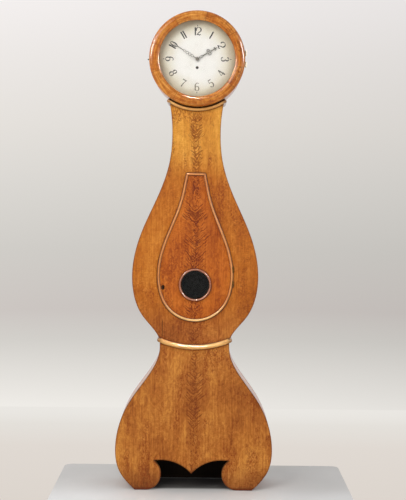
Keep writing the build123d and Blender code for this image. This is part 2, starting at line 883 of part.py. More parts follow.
with BuildPart() as hood_ring:
    with BuildSketch(facing(hood_ring_back)):
        with Locations((0, hood_height)):
            Circle(drum_radius)
            Circle(hood_ring_aperture, mode=Mode.SUBTRACT)
    extrude(amount=hood_ring_thickness)
    add(bezel_leaf_boxes(1), mode=Mode.SUBTRACT)
save(hood_ring, "hood_ring")

rail_top = hood_height - hood_rail_drop
cheek_front = inside_front + seat_board_front_gap
cheek_back = inside_back - back_board
runner_inner = cheek_half_width + runner_clearance
with BuildPart() as hood_runners:
    with BuildSketch(facing(inside_back)):
        with Locations((0, rail_top + runner_height / 2)):
            Rectangle(2 * drum_radius, runner_height)
            Rectangle(2 * runner_inner, runner_height, mode=Mode.SUBTRACT)
        with Locations((0, hood_height)):
            Circle(drum_bore, mode=Mode.INTERSECT)
    extrude(amount=inside_back - inside_front)
save(hood_runners, "hood_runners")

with BuildPart() as hood_rails:
    for way in (1, -1):
        rail_x = way * (cheek_half_width + hood_rail_width / 2)
        rail_y = (cheek_front + cheek_back) / 2
        with Locations((rail_x, rail_y, rail_top - hood_rail_height / 2)):
            Box(hood_rail_width, cheek_back - cheek_front, hood_rail_height)
save(hood_rails, "hood_rails")

# Glazed bezel: a round-fronted ring with a rebate behind for the glass.
bezel_axis_plane = Plane((0, 0, hood_height), x_dir=(1, 0, 0), z_dir=(0, 0, 1))
glass_seat = bezel_aperture + bezel_glass_seat
bezel_glass_back = bezel_back - bezel_glass_drop
bezel_glass_front = bezel_glass_back - glass_thickness
bezel_crown_radius = bezel_radius - (bezel_radius - bezel_aperture) * bezel_crown_share
with BuildPart() as bezel_ring:
    with BuildSketch(bezel_axis_plane):
        with BuildLine():
            Polyline(
                (bezel_aperture, bezel_back - bezel_lip),
                (bezel_aperture, bezel_glass_front),
                (glass_seat, bezel_glass_front),
                (glass_seat, bezel_back),
                (bezel_radius, bezel_back),
                (bezel_radius, bezel_back - bezel_rim),
            )
            EllipticalCenterArc(
                (bezel_crown_radius, bezel_back - bezel_rim),
                bezel_radius - bezel_crown_radius,
                bezel_depth - bezel_rim,
                start_angle=-90,
                arc_size=90,
            )
            EllipticalCenterArc(
                (bezel_crown_radius, bezel_back - bezel_lip),
                bezel_crown_radius - bezel_aperture,
                bezel_depth - bezel_lip,
                start_angle=180,
                arc_size=90,
            )
        make_face()
    revolve(axis=hood_axis)
    add(bezel_leaf_boxes(-1), mode=Mode.SUBTRACT)
save(bezel_ring, "bezel_ring")

with BuildPart() as bezel_glass:
    with BuildSketch(facing(bezel_glass_back)):
        with Locations((0, hood_height)):
            Circle(glass_seat - glass_clearance)
    extrude(amount=glass_thickness)
save(bezel_glass, "bezel_glass")

with BuildPart() as bezel_putty:
    with BuildSketch(bezel_axis_plane):
        with BuildLine():
            Polyline(
                (glass_seat, bezel_glass_back),
                (bezel_aperture, bezel_glass_back),
                (glass_seat, bezel_back - putty_margin),
                close=True,
            )
        make_face()
    revolve(axis=hood_axis)
save(bezel_putty, "bezel_putty")

pull_height = hood_height - bezel_pull_drop
with BuildPart() as bezel_pull:
    pull_plane = Plane(
        (-bezel_radius, bezel_back - bezel_rim / 2, pull_height), x_dir=(0, 1, 0), z_dir=(-1, 0, 0)
    )
    with BuildSketch(pull_plane):
        Circle(bezel_pull_radius / 2)
    extrude(amount=bezel_pull_radius)
    with Locations(pull_plane.offset(bezel_pull_radius)):
        Sphere(bezel_pull_radius)
save(bezel_pull, "bezel_pull")

# ---------------------------------------------------------------- seat of the movement
seat_top = hood_height - plate_below
seat_bottom = seat_top - seat_board_thickness
cheek_bottom = hood_height - cheek_drop
cheek_shoulder = hood_height - hood_rail_drop - hood_rail_height
with BuildPart() as seat_cheeks:
    with BuildSketch(facing(cheek_back)):
        add(waist_inner)
        with Locations((0, (cheek_bottom + cheek_shoulder) / 2)):
            Rectangle(reach, cheek_shoulder - cheek_bottom, mode=Mode.INTERSECT)
        with Locations((0, hood_height)):
            Circle(saddle_radius, mode=Mode.SUBTRACT)
        with Locations((0, (cheek_bottom + seat_bottom) / 2)):
            Rectangle(2 * cheek_half_width, seat_bottom - cheek_bottom)
            Rectangle(2 * cheek_inner, seat_bottom - cheek_bottom, mode=Mode.SUBTRACT)
    extrude(amount=cheek_back - cheek_front)
save(seat_cheeks, "seat_cheeks")

great_wheel_radius = great_wheel_teeth * great_module / 2
barrel_drop = (great_wheel_teeth + centre_pinion_leaves) * great_module / 2
barrel_height = hood_height - barrel_drop
barrel_front = front_plate_back + barrel_gap
barrel_back = barrel_front + barrel_length
line_x = barrel_radius + line_clearance + line_radius
line_y = (barrel_front + barrel_back) / 2
with BuildPart() as seat_board:
    with Locations((0, cheek_front + seat_board_depth / 2, (seat_top + seat_bottom) / 2)):
        Box(2 * cheek_half_width, seat_board_depth, seat_board_thickness)
    with Locations((line_x, line_y, seat_top)):
        Hole(line_hole_radius)
save(seat_board, "seat_board")


# ---------------------------------------------------------------- wheels
def toothed(teeth, module, centre, phase=0.0, root_share=tooth_root, tip_share=tooth_tip):
    """Outline of a wheel or pinion: each tooth is a short trapezium on the root circle."""
    pitch_radius = teeth * module / 2
    root_radius = pitch_radius - dedendum * module
    tip_radius = pitch_radius + addendum * module
    pitch_angle = 2 * pi / teeth
    corners = []
    for tooth in range(teeth):
        middle = radians(phase) + tooth * pitch_angle
        for radius, share in (
            (root_radius, -root_share),
            (tip_radius, -tip_share),
            (tip_radius, tip_share),
            (root_radius, root_share),
        ):
            angle = middle + share * pitch_angle / 2
            corners.append((centre[0] + radius * cos(angle), centre[1] + radius * sin(angle)))
    return corners


def mesh_phase(driver_teeth, driver_phase, driver_centre, teeth, centre):
    """Angle of a tooth of the driven wheel, so that a gap of it faces a tooth of its driver."""
    towards = degrees(atan2(centre[1] - driver_centre[1], centre[0] - driver_centre[0]))
    return towards + 180 + ((towards - driver_phase) * driver_teeth - 180) / teeth


def wheel_disc(corners, back, thickness):
    """Flat wheel from its outline, its back at a depth."""
    with BuildSketch(facing(back)) as disc:
        with BuildLine():
            Polyline(*corners, close=True)
        make_face()
    extrude(disc.sketch, amount=thickness)


def round_bar(centre, back, length, radius, mode=Mode.ADD):
    """Round bar along the depth, its back at a depth."""
    with BuildSketch(facing(back)) as section:
        with Locations(centre):
            Circle(radius)
    extrude(section.sketch, amount=length, mode=mode)


def crossings(centre, hub, rim, arms, back, thickness):
    """Cuts the spaces between a wheel's arms."""
    with BuildSketch(facing(back)) as spaces:
        with Locations(centre):
            Circle(rim)
            Circle(hub, mode=Mode.SUBTRACT)
        with Locations(centre):
            with PolarLocations(0, arms):
                Rectangle(2 * rim, arm_width, align=(Align.MIN, Align.CENTER), mode=Mode.SUBTRACT)
    extrude(spaces.sketch, amount=thickness, mode=Mode.SUBTRACT)


# Places of the arbors, seen from the front.
centre_arbor = (0, hood_height)
barrel_arbor = (0, barrel_height)
escape_arbor = (0, hood_height + escape_rise)
anchor_arbor = (0, hood_height + anchor_rise)
centre_to_third = (centre_wheel_teeth + third_pinion_leaves) * train_module / 2
third_to_escape = (third_wheel_teeth + escape_pinion_leaves) * train_module / 2
third_rise = (centre_to_third**2 - third_to_escape**2 + escape_rise**2) / (2 * escape_rise)
third_arbor = (sqrt(centre_to_third**2 - third_rise**2), hood_height + third_rise)
minute_stud = (-(cannon_leaves + minute_wheel_teeth) * cannon_module / 2, hood_height)

# Each wheel's angle puts its teeth in mesh with the wheel that drives it.
centre_pinion_phase = mesh_phase(
    great_wheel_teeth, 0, barrel_arbor, centre_pinion_leaves, centre_arbor
)
third_pinion_phase = mesh_phase(centre_wheel_teeth, 0, centre_arbor, third_pinion_leaves, third_arbor)
escape_pinion_phase = mesh_phase(third_wheel_teeth, 0, third_arbor, escape_pinion_leaves, escape_arbor)
minute_wheel_phase = mesh_phase(cannon_leaves, 0, centre_arbor, minute_wheel_teeth, minute_stud)
hour_wheel_phase = mesh_phase(minute_pinion_leaves, 0, minute_stud, hour_wheel_teeth, centre_arbor)

# Depths of the wheels between the plates.
great_wheel_front = barrel_back + ratchet_thickness + wheel_gap
great_wheel_back = great_wheel_front + wheel_thickness
centre_pinion_back = great_wheel_back + wheel_gap
centre_wheel_back = back_plate_front - 2 * wheel_gap - wheel_thickness
third_pinion_back = centre_wheel_back + wheel_gap
third_wheel_back = barrel_front + pinion_length + wheel_thickness
escape_pinion_back = third_wheel_back + wheel_gap
escape_wheel_back = barrel_back
arbor_length = back_plate_back - front_plate_front


def arbor(centre, radius=arbor_radius):
    """Arbor running through both plates."""
    round_bar(centre, back_plate_back, arbor_length, radius)


# ---------------------------------------------------------------- movement: fixed pieces
plate_middle = hood_height + (plate_above - plate_below) / 2
pillar_x = plate_half_width - pillar_inset
pillar_z = (plate_above + plate_below) / 2 - pillar_inset
pillar_places = [
    (way_x * pillar_x, plate_middle + way_z * pillar_z) for way_x in (-1, 1) for way_z in (-1, 1)
]


def movement_plate(back, anchor_hole, stud_length):
    """Brass plate with a bearing hole for each arbor, and a stud in front if it has a length."""
    with BuildPart() as plate:
        with BuildSketch(facing(back)):
            with Locations((0, plate_middle)):
                RectangleRounded(2 * plate_half_width, plate_above + plate_below, pillar_inset / 2)
            for place, hole in (
                (centre_arbor, arbor_radius + pivot_clearance),
                (third_arbor, arbor_radius + pivot_clearance),
                (escape_arbor, arbor_radius + pivot_clearance),
                (barrel_arbor, barrel_arbor_radius + pivot_clearance),
                (anchor_arbor, anchor_hole),
            ):
                with Locations(place):
                    Circle(hole, mode=Mode.SUBTRACT)
        extrude(amount=plate_thickness)
        if stud_length:
            round_bar(minute_stud, back - plate_thickness, stud_length, arbor_radius)
    return plate


pivot_hole = arbor_radius + pivot_clearance
front_plate = movement_plate(front_plate_back, pivot_hole, motion_space - stud_gap)
save(front_plate, "movement_front_plate")
save(movement_plate(back_plate_back, anchor_plate_hole, 0), "movement_back_plate")

with BuildPart() as plate_pillars:
    for place in pillar_places:
        round_bar(place, back_plate_front, plate_space, pillar_radius)
save(plate_pillars, "plate_pillars")

with BuildPart() as dial_plate:
    with BuildSketch(facing(dial_back)):
        with Locations((0, hood_height)):
            Circle(dial_radius)
            Circle(dial_hole_radius, mode=Mode.SUBTRACT)
        with Locations(barrel_arbor):
            Circle(winding_hole_radius, mode=Mode.SUBTRACT)
    extrude(amount=dial_thickness)
save(dial_plate, "dial_plate")

with BuildPart() as dial_posts:
    for way_x in (-1, 1):
        for way_z in (-1, 1):
            place = (way_x * post_spread_x, hood_height + way_z * post_spread_z)
            round_bar(place, front_plate_front, motion_space, post_radius)
save(dial_posts, "dial_posts")

# Back cock: a bridge over the crutch, with a slit tongue that carries the pendulum's spring.
bar_front = back_plate_back + cock_reach
bar_back = bar_front + cock_bar
pendulum_y = back_plate_back + pendulum_setback
tongue_back = pendulum_y + spring_width
anchor_height = anchor_arbor[1]
with BuildPart() as back_cock:
    for way in (1, -1):
        foot_x = way * (cock_half_width - cock_foot / 2)
        with Locations((foot_x, (back_plate_back + bar_front) / 2, anchor_height)):
            Box(cock_foot, cock_reach, cock_height)
    with Locations((0, (bar_front + bar_back) / 2, anchor_height)):
        Box(2 * cock_half_width, cock_bar, cock_height)
    with Locations((0, (bar_back + tongue_back) / 2, anchor_height + cock_height / 4)):
        Box(2 * cock_tongue_half_width, tongue_back - bar_back, cock_height / 2)
    with Locations((0, pendulum_y, anchor_height)):
        Box(spring_slit, spring_width + spring_slit, 2 * cock_height, mode=Mode.SUBTRACT)
    round_bar(anchor_arbor, bar_back, cock_bar, arbor_radius + pivot_clearance, Mode.SUBTRACT)
save(back_cock, "back_cock")

# ---------------------------------------------------------------- movement: going train
with BuildPart() as barrel:
    round_bar(barrel_arbor, barrel_back, barrel_length, barrel_radius)
    for flange_back in (barrel_back, barrel_front + barrel_flange_thickness):
        round_bar(barrel_arbor, flange_back, barrel_flange_thickness, barrel_radius + barrel_flange)
    corners = toothed(ratchet_teeth, 2 * ratchet_radius / ratchet_teeth, barrel_arbor)
    wheel_disc(corners, barrel_back + ratchet_thickness, ratchet_thickness)
    arbor(barrel_arbor, barrel_arbor_radius)
    square_middle = (dial_back + front_plate_front) / 2
    with Locations((0, square_middle, barrel_height)):
        Box(winding_square, motion_space, winding_square)
save(barrel, "barrel")

click_place = (
    barrel_arbor[0] + click_pivot_radius * cos(radians(click_pivot_angle)),
    barrel_arbor[1] + click_pivot_radius * sin(radians(click_pivot_angle)),
)
ratchet_tip = ratchet_radius + addendum * 2 * ratchet_radius / ratchet_teeth
with BuildPart() as great_wheel:
    wheel_disc(toothed(great_wheel_teeth, great_module, barrel_arbor), great_wheel_back, wheel_thickness)
    crossings(
        barrel_arbor,
        click_pivot_radius + arm_width,
        great_wheel_radius - rim_width,
        great_wheel_arms,
        great_wheel_back,
        wheel_thickness,
    )
    hole = barrel_arbor_radius + pivot_clearance
    round_bar(barrel_arbor, great_wheel_back, wheel_thickness, hole, Mode.SUBTRACT)
    round_bar(click_place, great_wheel_front, click_thickness, click_pin_radius)
save(great_wheel, "great_wheel")

# Click: a pawl on a pin of the great wheel, its tip held off the ratchet's tips by a hair.
with BuildPart() as click:
    with BuildSketch(facing(great_wheel_front)):
        with Locations(click_place):
            Circle(click_width)
        with Locations(Location(click_place, click_pivot_angle + 90 + click_lean)):
            Rectangle(click_length, click_width, align=(Align.MIN, Align.CENTER))
        with Locations(click_place):
            Circle(click_pin_radius + pivot_clearance, mode=Mode.SUBTRACT)
        with Locations(barrel_arbor):
            Circle(ratchet_tip + click_clearance, mode=Mode.SUBTRACT)
    extrude(amount=click_thickness)
save(click, "click")

with BuildPart() as centre_wheel:
    arbor(centre_arbor)
    corners = toothed(
        centre_pinion_leaves, great_module, centre_arbor, centre_pinion_phase, leaf_root, leaf_tip
    )
    wheel_disc(corners, centre_pinion_back, pinion_length)
    wheel_disc(
        toothed(centre_wheel_teeth, train_module, centre_arbor), centre_wheel_back, wheel_thickness
    )
    crossings(
        centre_arbor,
        wheel_hub_radius,
        centre_wheel_teeth * train_module / 2 - rim_width,
        wheel_arms,
        centre_wheel_back,
        wheel_thickness,
    )
    nut_front = dial_front - minute_hand_gap - hand_thickness - hand_nut_height
    round_bar(centre_arbor, front_plate_front, front_plate_front - nut_front + arbor_radius, arbor_radius)
save(centre_wheel, "centre_wheel")

with BuildPart() as third_wheel:
    arbor(third_arbor)
    corners = toothed(
        third_pinion_leaves, train_module, third_arbor, third_pinion_phase, leaf_root, leaf_tip
    )
    wheel_disc(corners, third_pinion_back, pinion_length)
    wheel_disc(toothed(third_wheel_teeth, train_module, third_arbor), third_wheel_back, wheel_thickness)
    crossings(
        third_arbor,
        wheel_hub_radius,
        third_wheel_teeth * train_module / 2 - rim_width,
        wheel_arms,
        third_wheel_back,
        wheel_thickness,
    )
save(third_wheel, "third_wheel")

with BuildPart() as escape_wheel:
    arbor(escape_arbor)
    corners = toothed(
        escape_pinion_leaves, train_module, escape_arbor, escape_pinion_phase, leaf_root, leaf_tip
    )
    wheel_disc(corners, escape_pinion_back, pinion_length)
    corners = []
    for tooth in range(escape_teeth):
        for radius, share in ((escape_radius, 0), (escape_radius - escape_tooth_depth, escape_tooth_rake)):
            angle = 2 * pi * (tooth + share) / escape_teeth
            corners.append(
                (escape_arbor[0] + radius * cos(angle), escape_arbor[1] + radius * sin(angle))
            )
    wheel_disc(corners, escape_wheel_back, wheel_thickness)
    crossings(
        escape_arbor,
        wheel_hub_radius,
        escape_radius - escape_tooth_depth - rim_width / 2,
        wheel_arms,
        escape_wheel_back,
        wheel_thickness,
    )
save(escape_wheel, "escape_wheel")

# Anchor: its pallets reach round the escape wheel, just clear of the teeth.
pallet_radius = escape_radius + anchor_pallet_gap
with BuildPart() as anchor:
    with BuildSketch(facing(escape_wheel_back)):
        with Locations(escape_arbor):
            Circle(pallet_radius + anchor_width)
            Circle(pallet_radius, mode=Mode.SUBTRACT)
        with Locations((0, escape_arbor[1] + pallet_radius * cos(radians(anchor_span)) - reach / 2)):
            Rectangle(reach, reach, mode=Mode.SUBTRACT)
        with Locations((0, (escape_arbor[1] + pallet_radius + anchor_arbor[1]) / 2 + arbor_radius)):
            Rectangle(anchor_width, anchor_rise - escape_rise - pallet_radius)
        with Locations(anchor_arbor):
            Circle(anchor_width)
    extrude(amount=wheel_thickness)
    round_bar(anchor_arbor, bar_back, bar_back - front_plate_front, arbor_radius)
save(anchor, "anchor")

crutch_back = back_plate_back + 2 * wheel_gap + crutch_thickness
fork_inner = rod_radius + crutch_clearance
fork_width = 2 * (fork_inner + crutch_thickness)
fork_height = anchor_height - crutch_length
with BuildPart() as crutch:
    with BuildSketch(facing(crutch_back)):
        with Locations(anchor_arbor):
            Circle(2 * crutch_thickness)
        with Locations((0, anchor_height - crutch_length / 2)):
            Rectangle(crutch_thickness * 1.5, crutch_length)
        with Locations((0, fork_height)):
            Rectangle(fork_width, fork_width / 2)
        with Locations(anchor_arbor):
            Circle(arbor_radius + fit_clearance, mode=Mode.SUBTRACT)
    extrude(amount=crutch_thickness)
    fork_back = pendulum_y + rod_radius + crutch_clearance
    for way in (1, -1):
        prong_x = way * (fork_inner + crutch_thickness / 2)
        with Locations((prong_x, (crutch_back + fork_back) / 2, fork_height)):
            Box(crutch_thickness, fork_back - crutch_back, fork_width / 2)
save(crutch, "crutch")

# ---------------------------------------------------------------- pendulum
spring_top = anchor_height + cock_height / 2
pendulum_axis = Axis((0, pendulum_y, porthole_height), (0, 1, 0))
with BuildPart() as suspension_spring:
    with Locations((0, pendulum_y, spring_top - spring_length / 2)):
        Box(spring_thickness, spring_width, spring_length)
    with Locations(Location((0, pendulum_y, spring_top + spring_pin_radius + spring_pin_gap), (0, 90, 0))):
        Cylinder(spring_pin_radius, 2 * cock_tongue_half_width)
    with Locations((0, pendulum_y, spring_top + spring_pin_gap / 2)):
        Box(spring_thickness, spring_width / 2, spring_pin_gap + spring_pin_radius)
save(suspension_spring, "suspension_spring")

rod_top = spring_top - spring_length
rod_bottom = porthole_height - bob_radius - rod_tail
with BuildPart() as pendulum_rod:
    with Locations((0, pendulum_y, (rod_top + rod_bottom) / 2)):
        Cylinder(rod_radius, rod_top - rod_bottom)
save(pendulum_rod, "pendulum_rod")

# Bob: a brass lens on the rod, level with the porthole.
lens_radius = (bob_radius**2 + (bob_thickness / 2) ** 2) / bob_thickness
lens_mid = bob_thickness / 2 - lens_radius + sqrt(lens_radius**2 - (bob_radius / 2) ** 2)
with BuildPart() as pendulum_bob:
    with BuildSketch(Plane((0, pendulum_y, porthole_height), x_dir=(1, 0, 0), z_dir=(0, 0, 1))):
        with BuildLine():
            for way in (1, -1):
                ThreePointArc(
                    (0, way * bob_thickness / 2),
                    (bob_radius / 2, way * lens_mid),
                    (bob_radius, 0),
                )
            Line((0, -bob_thickness / 2), (0, bob_thickness / 2))
        make_face()
    revolve(axis=pendulum_axis)
    with Locations((0, pendulum_y, porthole_height)):
        Cylinder(rod_radius + bob_bore_clearance, 3 * bob_radius, mode=Mode.SUBTRACT)
save(pendulum_bob, "pendulum_bob")

nut_height = porthole_height - bob_radius - rating_nut_height / 2
with BuildPart() as rating_nut:
    with BuildSketch(Plane.XY.offset(nut_height - rating_nut_height / 2)):
        with Locations((0, pendulum_y)):
            RegularPolygon(rating_nut_radius, rating_nut_sides)
            Circle(rod_radius + bob_bore_clearance, mode=Mode.SUBTRACT)
    extrude(amount=rating_nut_height)
save(rating_nut, "rating_nut")

# ---------------------------------------------------------------- motion work and hands
cannon_bore = arbor_radius + pipe_clearance
cannon_radius = cannon_bore + cannon_pipe_wall
hour_bore = cannon_radius + pipe_clearance
hour_pipe_radius = hour_bore + hour_pipe_wall
hour_hand_back = dial_front - hour_hand_gap
minute_hand_back = dial_front - minute_hand_gap
cannon_back = front_plate_front - wheel_gap
cannon_teeth_depth = 2 * wheel_thickness
minute_wheel_back = cannon_back - wheel_gap
minute_pinion_back = minute_wheel_back - wheel_thickness
hour_wheel_back = minute_pinion_back - wheel_gap

with BuildPart() as cannon_pinion:
    wheel_disc(toothed(cannon_leaves, cannon_module, centre_arbor), cannon_back, cannon_teeth_depth)
    cannon_length = cannon_back - minute_hand_back + hand_thickness
    round_bar(centre_arbor, cannon_back, cannon_length, cannon_radius)
    round_bar(centre_arbor, cannon_back, cannon_length, cannon_bore, Mode.SUBTRACT)
save(cannon_pinion, "cannon_pinion")

with BuildPart() as minute_wheel:
    corners = toothed(minute_wheel_teeth, cannon_module, minute_stud, minute_wheel_phase)
    wheel_disc(corners, minute_wheel_back, wheel_thickness)
    wheel_disc(toothed(minute_pinion_leaves, hour_module, minute_stud), minute_pinion_back, pinion_length)
    bore_length = wheel_thickness + pinion_length
    bore_radius = arbor_radius + pipe_clearance
    round_bar(minute_stud, minute_wheel_back, bore_length, bore_radius, Mode.SUBTRACT)
save(minute_wheel, "minute_wheel")

with BuildPart() as hour_wheel:
    corners = toothed(hour_wheel_teeth, hour_module, centre_arbor, hour_wheel_phase)
    wheel_disc(corners, hour_wheel_back, wheel_thickness)
    hour_pipe_length = hour_wheel_back - hour_hand_back + hand_thickness
    round_bar(centre_arbor, hour_wheel_back, hour_pipe_length, hour_pipe_radius)
    round_bar(centre_arbor, hour_wheel_back, hour_pipe_length, hour_bore, Mode.SUBTRACT)
save(hour_wheel, "hour_wheel")


def hand_plane(back, angle):
    """Sketch plane of a hand: local Y runs along it, at an angle clockwise from twelve."""
    turn = radians(angle)
    return Plane((0, back, hood_height), x_dir=(cos(turn), 0, -sin(turn)), z_dir=(0, -1, 0))


def pierced_hand(back, angle, length, loops, bars, point, bore):
    """Flat hand: a bar from the boss to the tip, broken by oval loops."""
    with BuildPart() as hand:
        with BuildSketch(hand_plane(back, angle)) as outline:
            for along, half_height, across, half_width in loops:
                with Locations((across, along * length)):
                    Ellipse(half_width, half_height)
                    Ellipse(half_width - hand_wire, half_height - hand_wire, mode=Mode.SUBTRACT)
            for start, end in bars:
                with Locations((0, (start + end) / 2 * length)):
                    Rectangle(2 * hand_wire, (end - start) * length)
            with BuildLine():
                Polyline(
                    (-hand_wire, point * length),
                    (hand_wire, point * length),
                    (0, length),
                    close=True,
                )
            make_face()
            Circle(hand_boss_radius)
            Circle(bore, mode=Mode.SUBTRACT)
        extrude(outline.sketch, amount=hand_thickness)
    return hand


minute_hand = pierced_hand(
    minute_hand_back,
    minute_hand_angle,
    minute_hand_length,
    minute_hand_loops,
    minute_hand_bars,
    minute_hand_point,
    cannon_radius + fit_clearance,
)
save(minute_hand, "minute_hand")

hour_hand = pierced_hand(
    hour_hand_back,
    hour_hand_angle,
    hour_hand_length,
    hour_hand_loops,
    hour_hand_bars,
    hour_hand_point,
    hour_pipe_radius + fit_clearance,
)
save(hour_hand, "hour_hand")

with BuildPart() as hand_nut:
    nut_back = minute_hand_back - hand_thickness
    round_bar(centre_arbor, nut_back, hand_nut_height, hand_nut_radius)
    round_bar(centre_arbor, nut_back, hand_nut_height, cannon_bore, Mode.SUBTRACT)
    fillet(hand_nut.faces().sort_by(Axis.Y)[0].outer_wire().edges(), hand_nut_height / 3)
save(hand_nut, "hand_nut")

# ---------------------------------------------------------------- weight
weight_top = hood_height - weight_drop
hook_height = weight_top + weight_crown + weight_hook_radius
with BuildPart() as weight:
    with BuildSketch(Plane((line_x, line_y, weight_top), x_dir=(1, 0, 0), z_dir=(0, -1, 0))):
        with BuildLine():
            Polyline(
                (0, weight_crown),
                (0, -weight_length),
                (weight_radius, -weight_length),
                (weight_radius, 0),
            )
            RadiusArc((weight_radius, 0), (0, weight_crown), crown_radius)
        make_face()
    revolve(axis=Axis((line_x, line_y, 0), (0, 0, 1)))
    with Locations(Location((line_x, line_y, hook_height), (90, 0, 0))):
        Torus(weight_hook_radius, weight_hook_wire)
save(weight, "weight")

line_bottom = hook_height + weight_hook_radius + weight_hook_wire
with BuildPart() as gut_line:
    with Locations((line_x, line_y, (barrel_height + line_bottom) / 2)):
        Cylinder(line_radius, barrel_height - line_bottom)
save(gut_line, "gut_line")
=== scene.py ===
import math

import bmesh
import bpy
from mathutils import Matrix, Vector


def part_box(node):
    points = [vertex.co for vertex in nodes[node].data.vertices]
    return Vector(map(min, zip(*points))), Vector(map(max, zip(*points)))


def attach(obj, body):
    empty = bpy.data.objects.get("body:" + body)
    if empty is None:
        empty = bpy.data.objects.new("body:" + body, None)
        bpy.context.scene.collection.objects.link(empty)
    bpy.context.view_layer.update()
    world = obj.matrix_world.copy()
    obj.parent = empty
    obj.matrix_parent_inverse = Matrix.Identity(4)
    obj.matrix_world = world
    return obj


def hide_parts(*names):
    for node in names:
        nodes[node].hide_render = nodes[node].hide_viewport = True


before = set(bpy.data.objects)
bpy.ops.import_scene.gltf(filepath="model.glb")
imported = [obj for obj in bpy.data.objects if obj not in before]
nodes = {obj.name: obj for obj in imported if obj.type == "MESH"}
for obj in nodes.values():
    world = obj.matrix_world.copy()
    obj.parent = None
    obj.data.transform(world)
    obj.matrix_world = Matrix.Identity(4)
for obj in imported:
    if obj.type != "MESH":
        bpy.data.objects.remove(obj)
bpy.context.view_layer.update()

# ------------------------
# The plinth: pine boards faced with flame birch veneer, its leaves opened like a book on the
# centre line so that the feather figure meets there. The front is sawn to the scrolls and the
# thin sides are bent round its outline and glued. Stained, then French polished.


def colour(red, green, blue):
    """A shade as a colour chart gives it, made linear for a shader."""
    return tuple(((part / 255 + 0.055) / 1.055) ** 2.4 for part in (red, green, blue)) + (1.0,)


def parts_of(tree, value):
    """The three parts of a vector."""
    made = tree.nodes.new("ShaderNodeSeparateXYZ")
    tree.links.new(value, made.inputs[0])
    return made.outputs


def finish(name):
    """A new material: its node tree, its surface shader, and the coordinates of the piece that
    wears it, whole and in three parts."""
    made = bpy.data.materials.new(name)
    made.use_nodes = True
    tree = made.node_tree
    place = tree.nodes.new("ShaderNodeTexCoord").outputs["Object"]
    return made, tree, tree.nodes["Principled BSDF"], place, parts_of(tree, place)


def put(tree, kind, sockets, out=0, **settings):
    """Adds a node, with its settings and sockets filled or joined, and gives one output."""
    made = tree.nodes.new(kind)
    for name, value in settings.items():
        setattr(made, name, value)
    for socket, value in sockets.items():
        if isinstance(value, bpy.types.NodeSocket):
            tree.links.new(value, made.inputs[socket])
        else:
            made.inputs[socket].default_value = value
    return made.outputs[out]


def maths(tree, operation, *values):
    return put(tree, "ShaderNodeMath", dict(enumerate(values)), operation=operation)


def times(tree, first, second):
    return maths(tree, "MULTIPLY", first, second)


def vector(tree, x, y, z):
    return put(tree, "ShaderNodeCombineXYZ", {0: x, 1: y, 2: z})


def vector_maths(tree, operation, *values):
    out = 1 if operation in ("LENGTH", "DISTANCE") else 0
    return put(tree, "ShaderNodeVectorMath", dict(enumerate(values)), out=out, operation=operation)


def between(tree, value, low, high, start=0.0, end=1.0):
    """The value's run from low to high, as a run from start to end, held at both ends."""
    steps = {0: value, 1: low, 2: high, 3: start, 4: end}
    return put(tree, "ShaderNodeMapRange", steps, interpolation_type="SMOOTHSTEP")


def cloud(tree, place, stretch, detail=3.0, roughness=0.5, distortion=0.0):
    """Noise on the object's own coordinates, stretched along each axis."""
    drawn = vector_maths(tree, "MULTIPLY", place, stretch)
    shape = {"Vector": drawn, "Scale": 1.0, "Detail": detail, "Roughness": roughness,
             "Distortion": distortion}
    return put(tree, "ShaderNodeTexNoise", shape)


def ramp(tree, factor, *stops):
    """A colour ramp; each stop is a place and a shade."""
    made = tree.nodes.new("ShaderNodeValToRGB")
    marks = made.color_ramp.elements
    while len(marks) < len(stops):
        marks.new(1.0)
    for mark, (place, shade) in zip(marks, stops):
        mark.position = place
        mark.color = shade
    tree.links.new(factor, made.inputs[0])
    return made.outputs[0]


def mixed(tree, factor, first, second, way="MIX"):
    """Two colours put together."""
    return put(tree, "ShaderNodeMix", {0: factor, 6: first, 7: second}, out=2,
               data_type="RGBA", blend_type=way)


def grime(tree, shade, reach, depth, shade_colour=colour(62, 24, 8), closed=0.5, clear=1.0):
    """Painted shade: darker in the corners and recesses, where less light reaches."""
    open_share = put(tree, "ShaderNodeAmbientOcclusion", {"Distance": reach}, out=1, samples=8)
    hidden = between(tree, open_share, closed, clear, depth, 0.0)
    return mixed(tree, hidden, shade, shade_colour)


def relief(tree, surface, height, distance, strength=1.0):
    """Raises the surface by a height from 0 to 1, times a distance in metres."""
    sockets = {"Height": height, "Distance": distance, "Strength": strength}
    bump = put(tree, "ShaderNodeBump", sockets)
    tree.links.new(bump, surface.inputs["Normal"])


def colour_surface(tree, surface, shade, noise, smooth, rough):
    """Joins the shade, and a roughness that follows a noise."""
    tree.links.new(shade, surface.inputs["Base Color"])
    tree.links.new(between(tree, noise, 0.3, 0.7, smooth, rough), surface.inputs["Roughness"])


def polish(surface, sheen, coat, coat_roughness):
    surface.inputs["Specular IOR Level"].default_value = sheen
    surface.inputs["Coat Weight"].default_value = coat
    surface.inputs["Coat Roughness"].default_value = coat_roughness


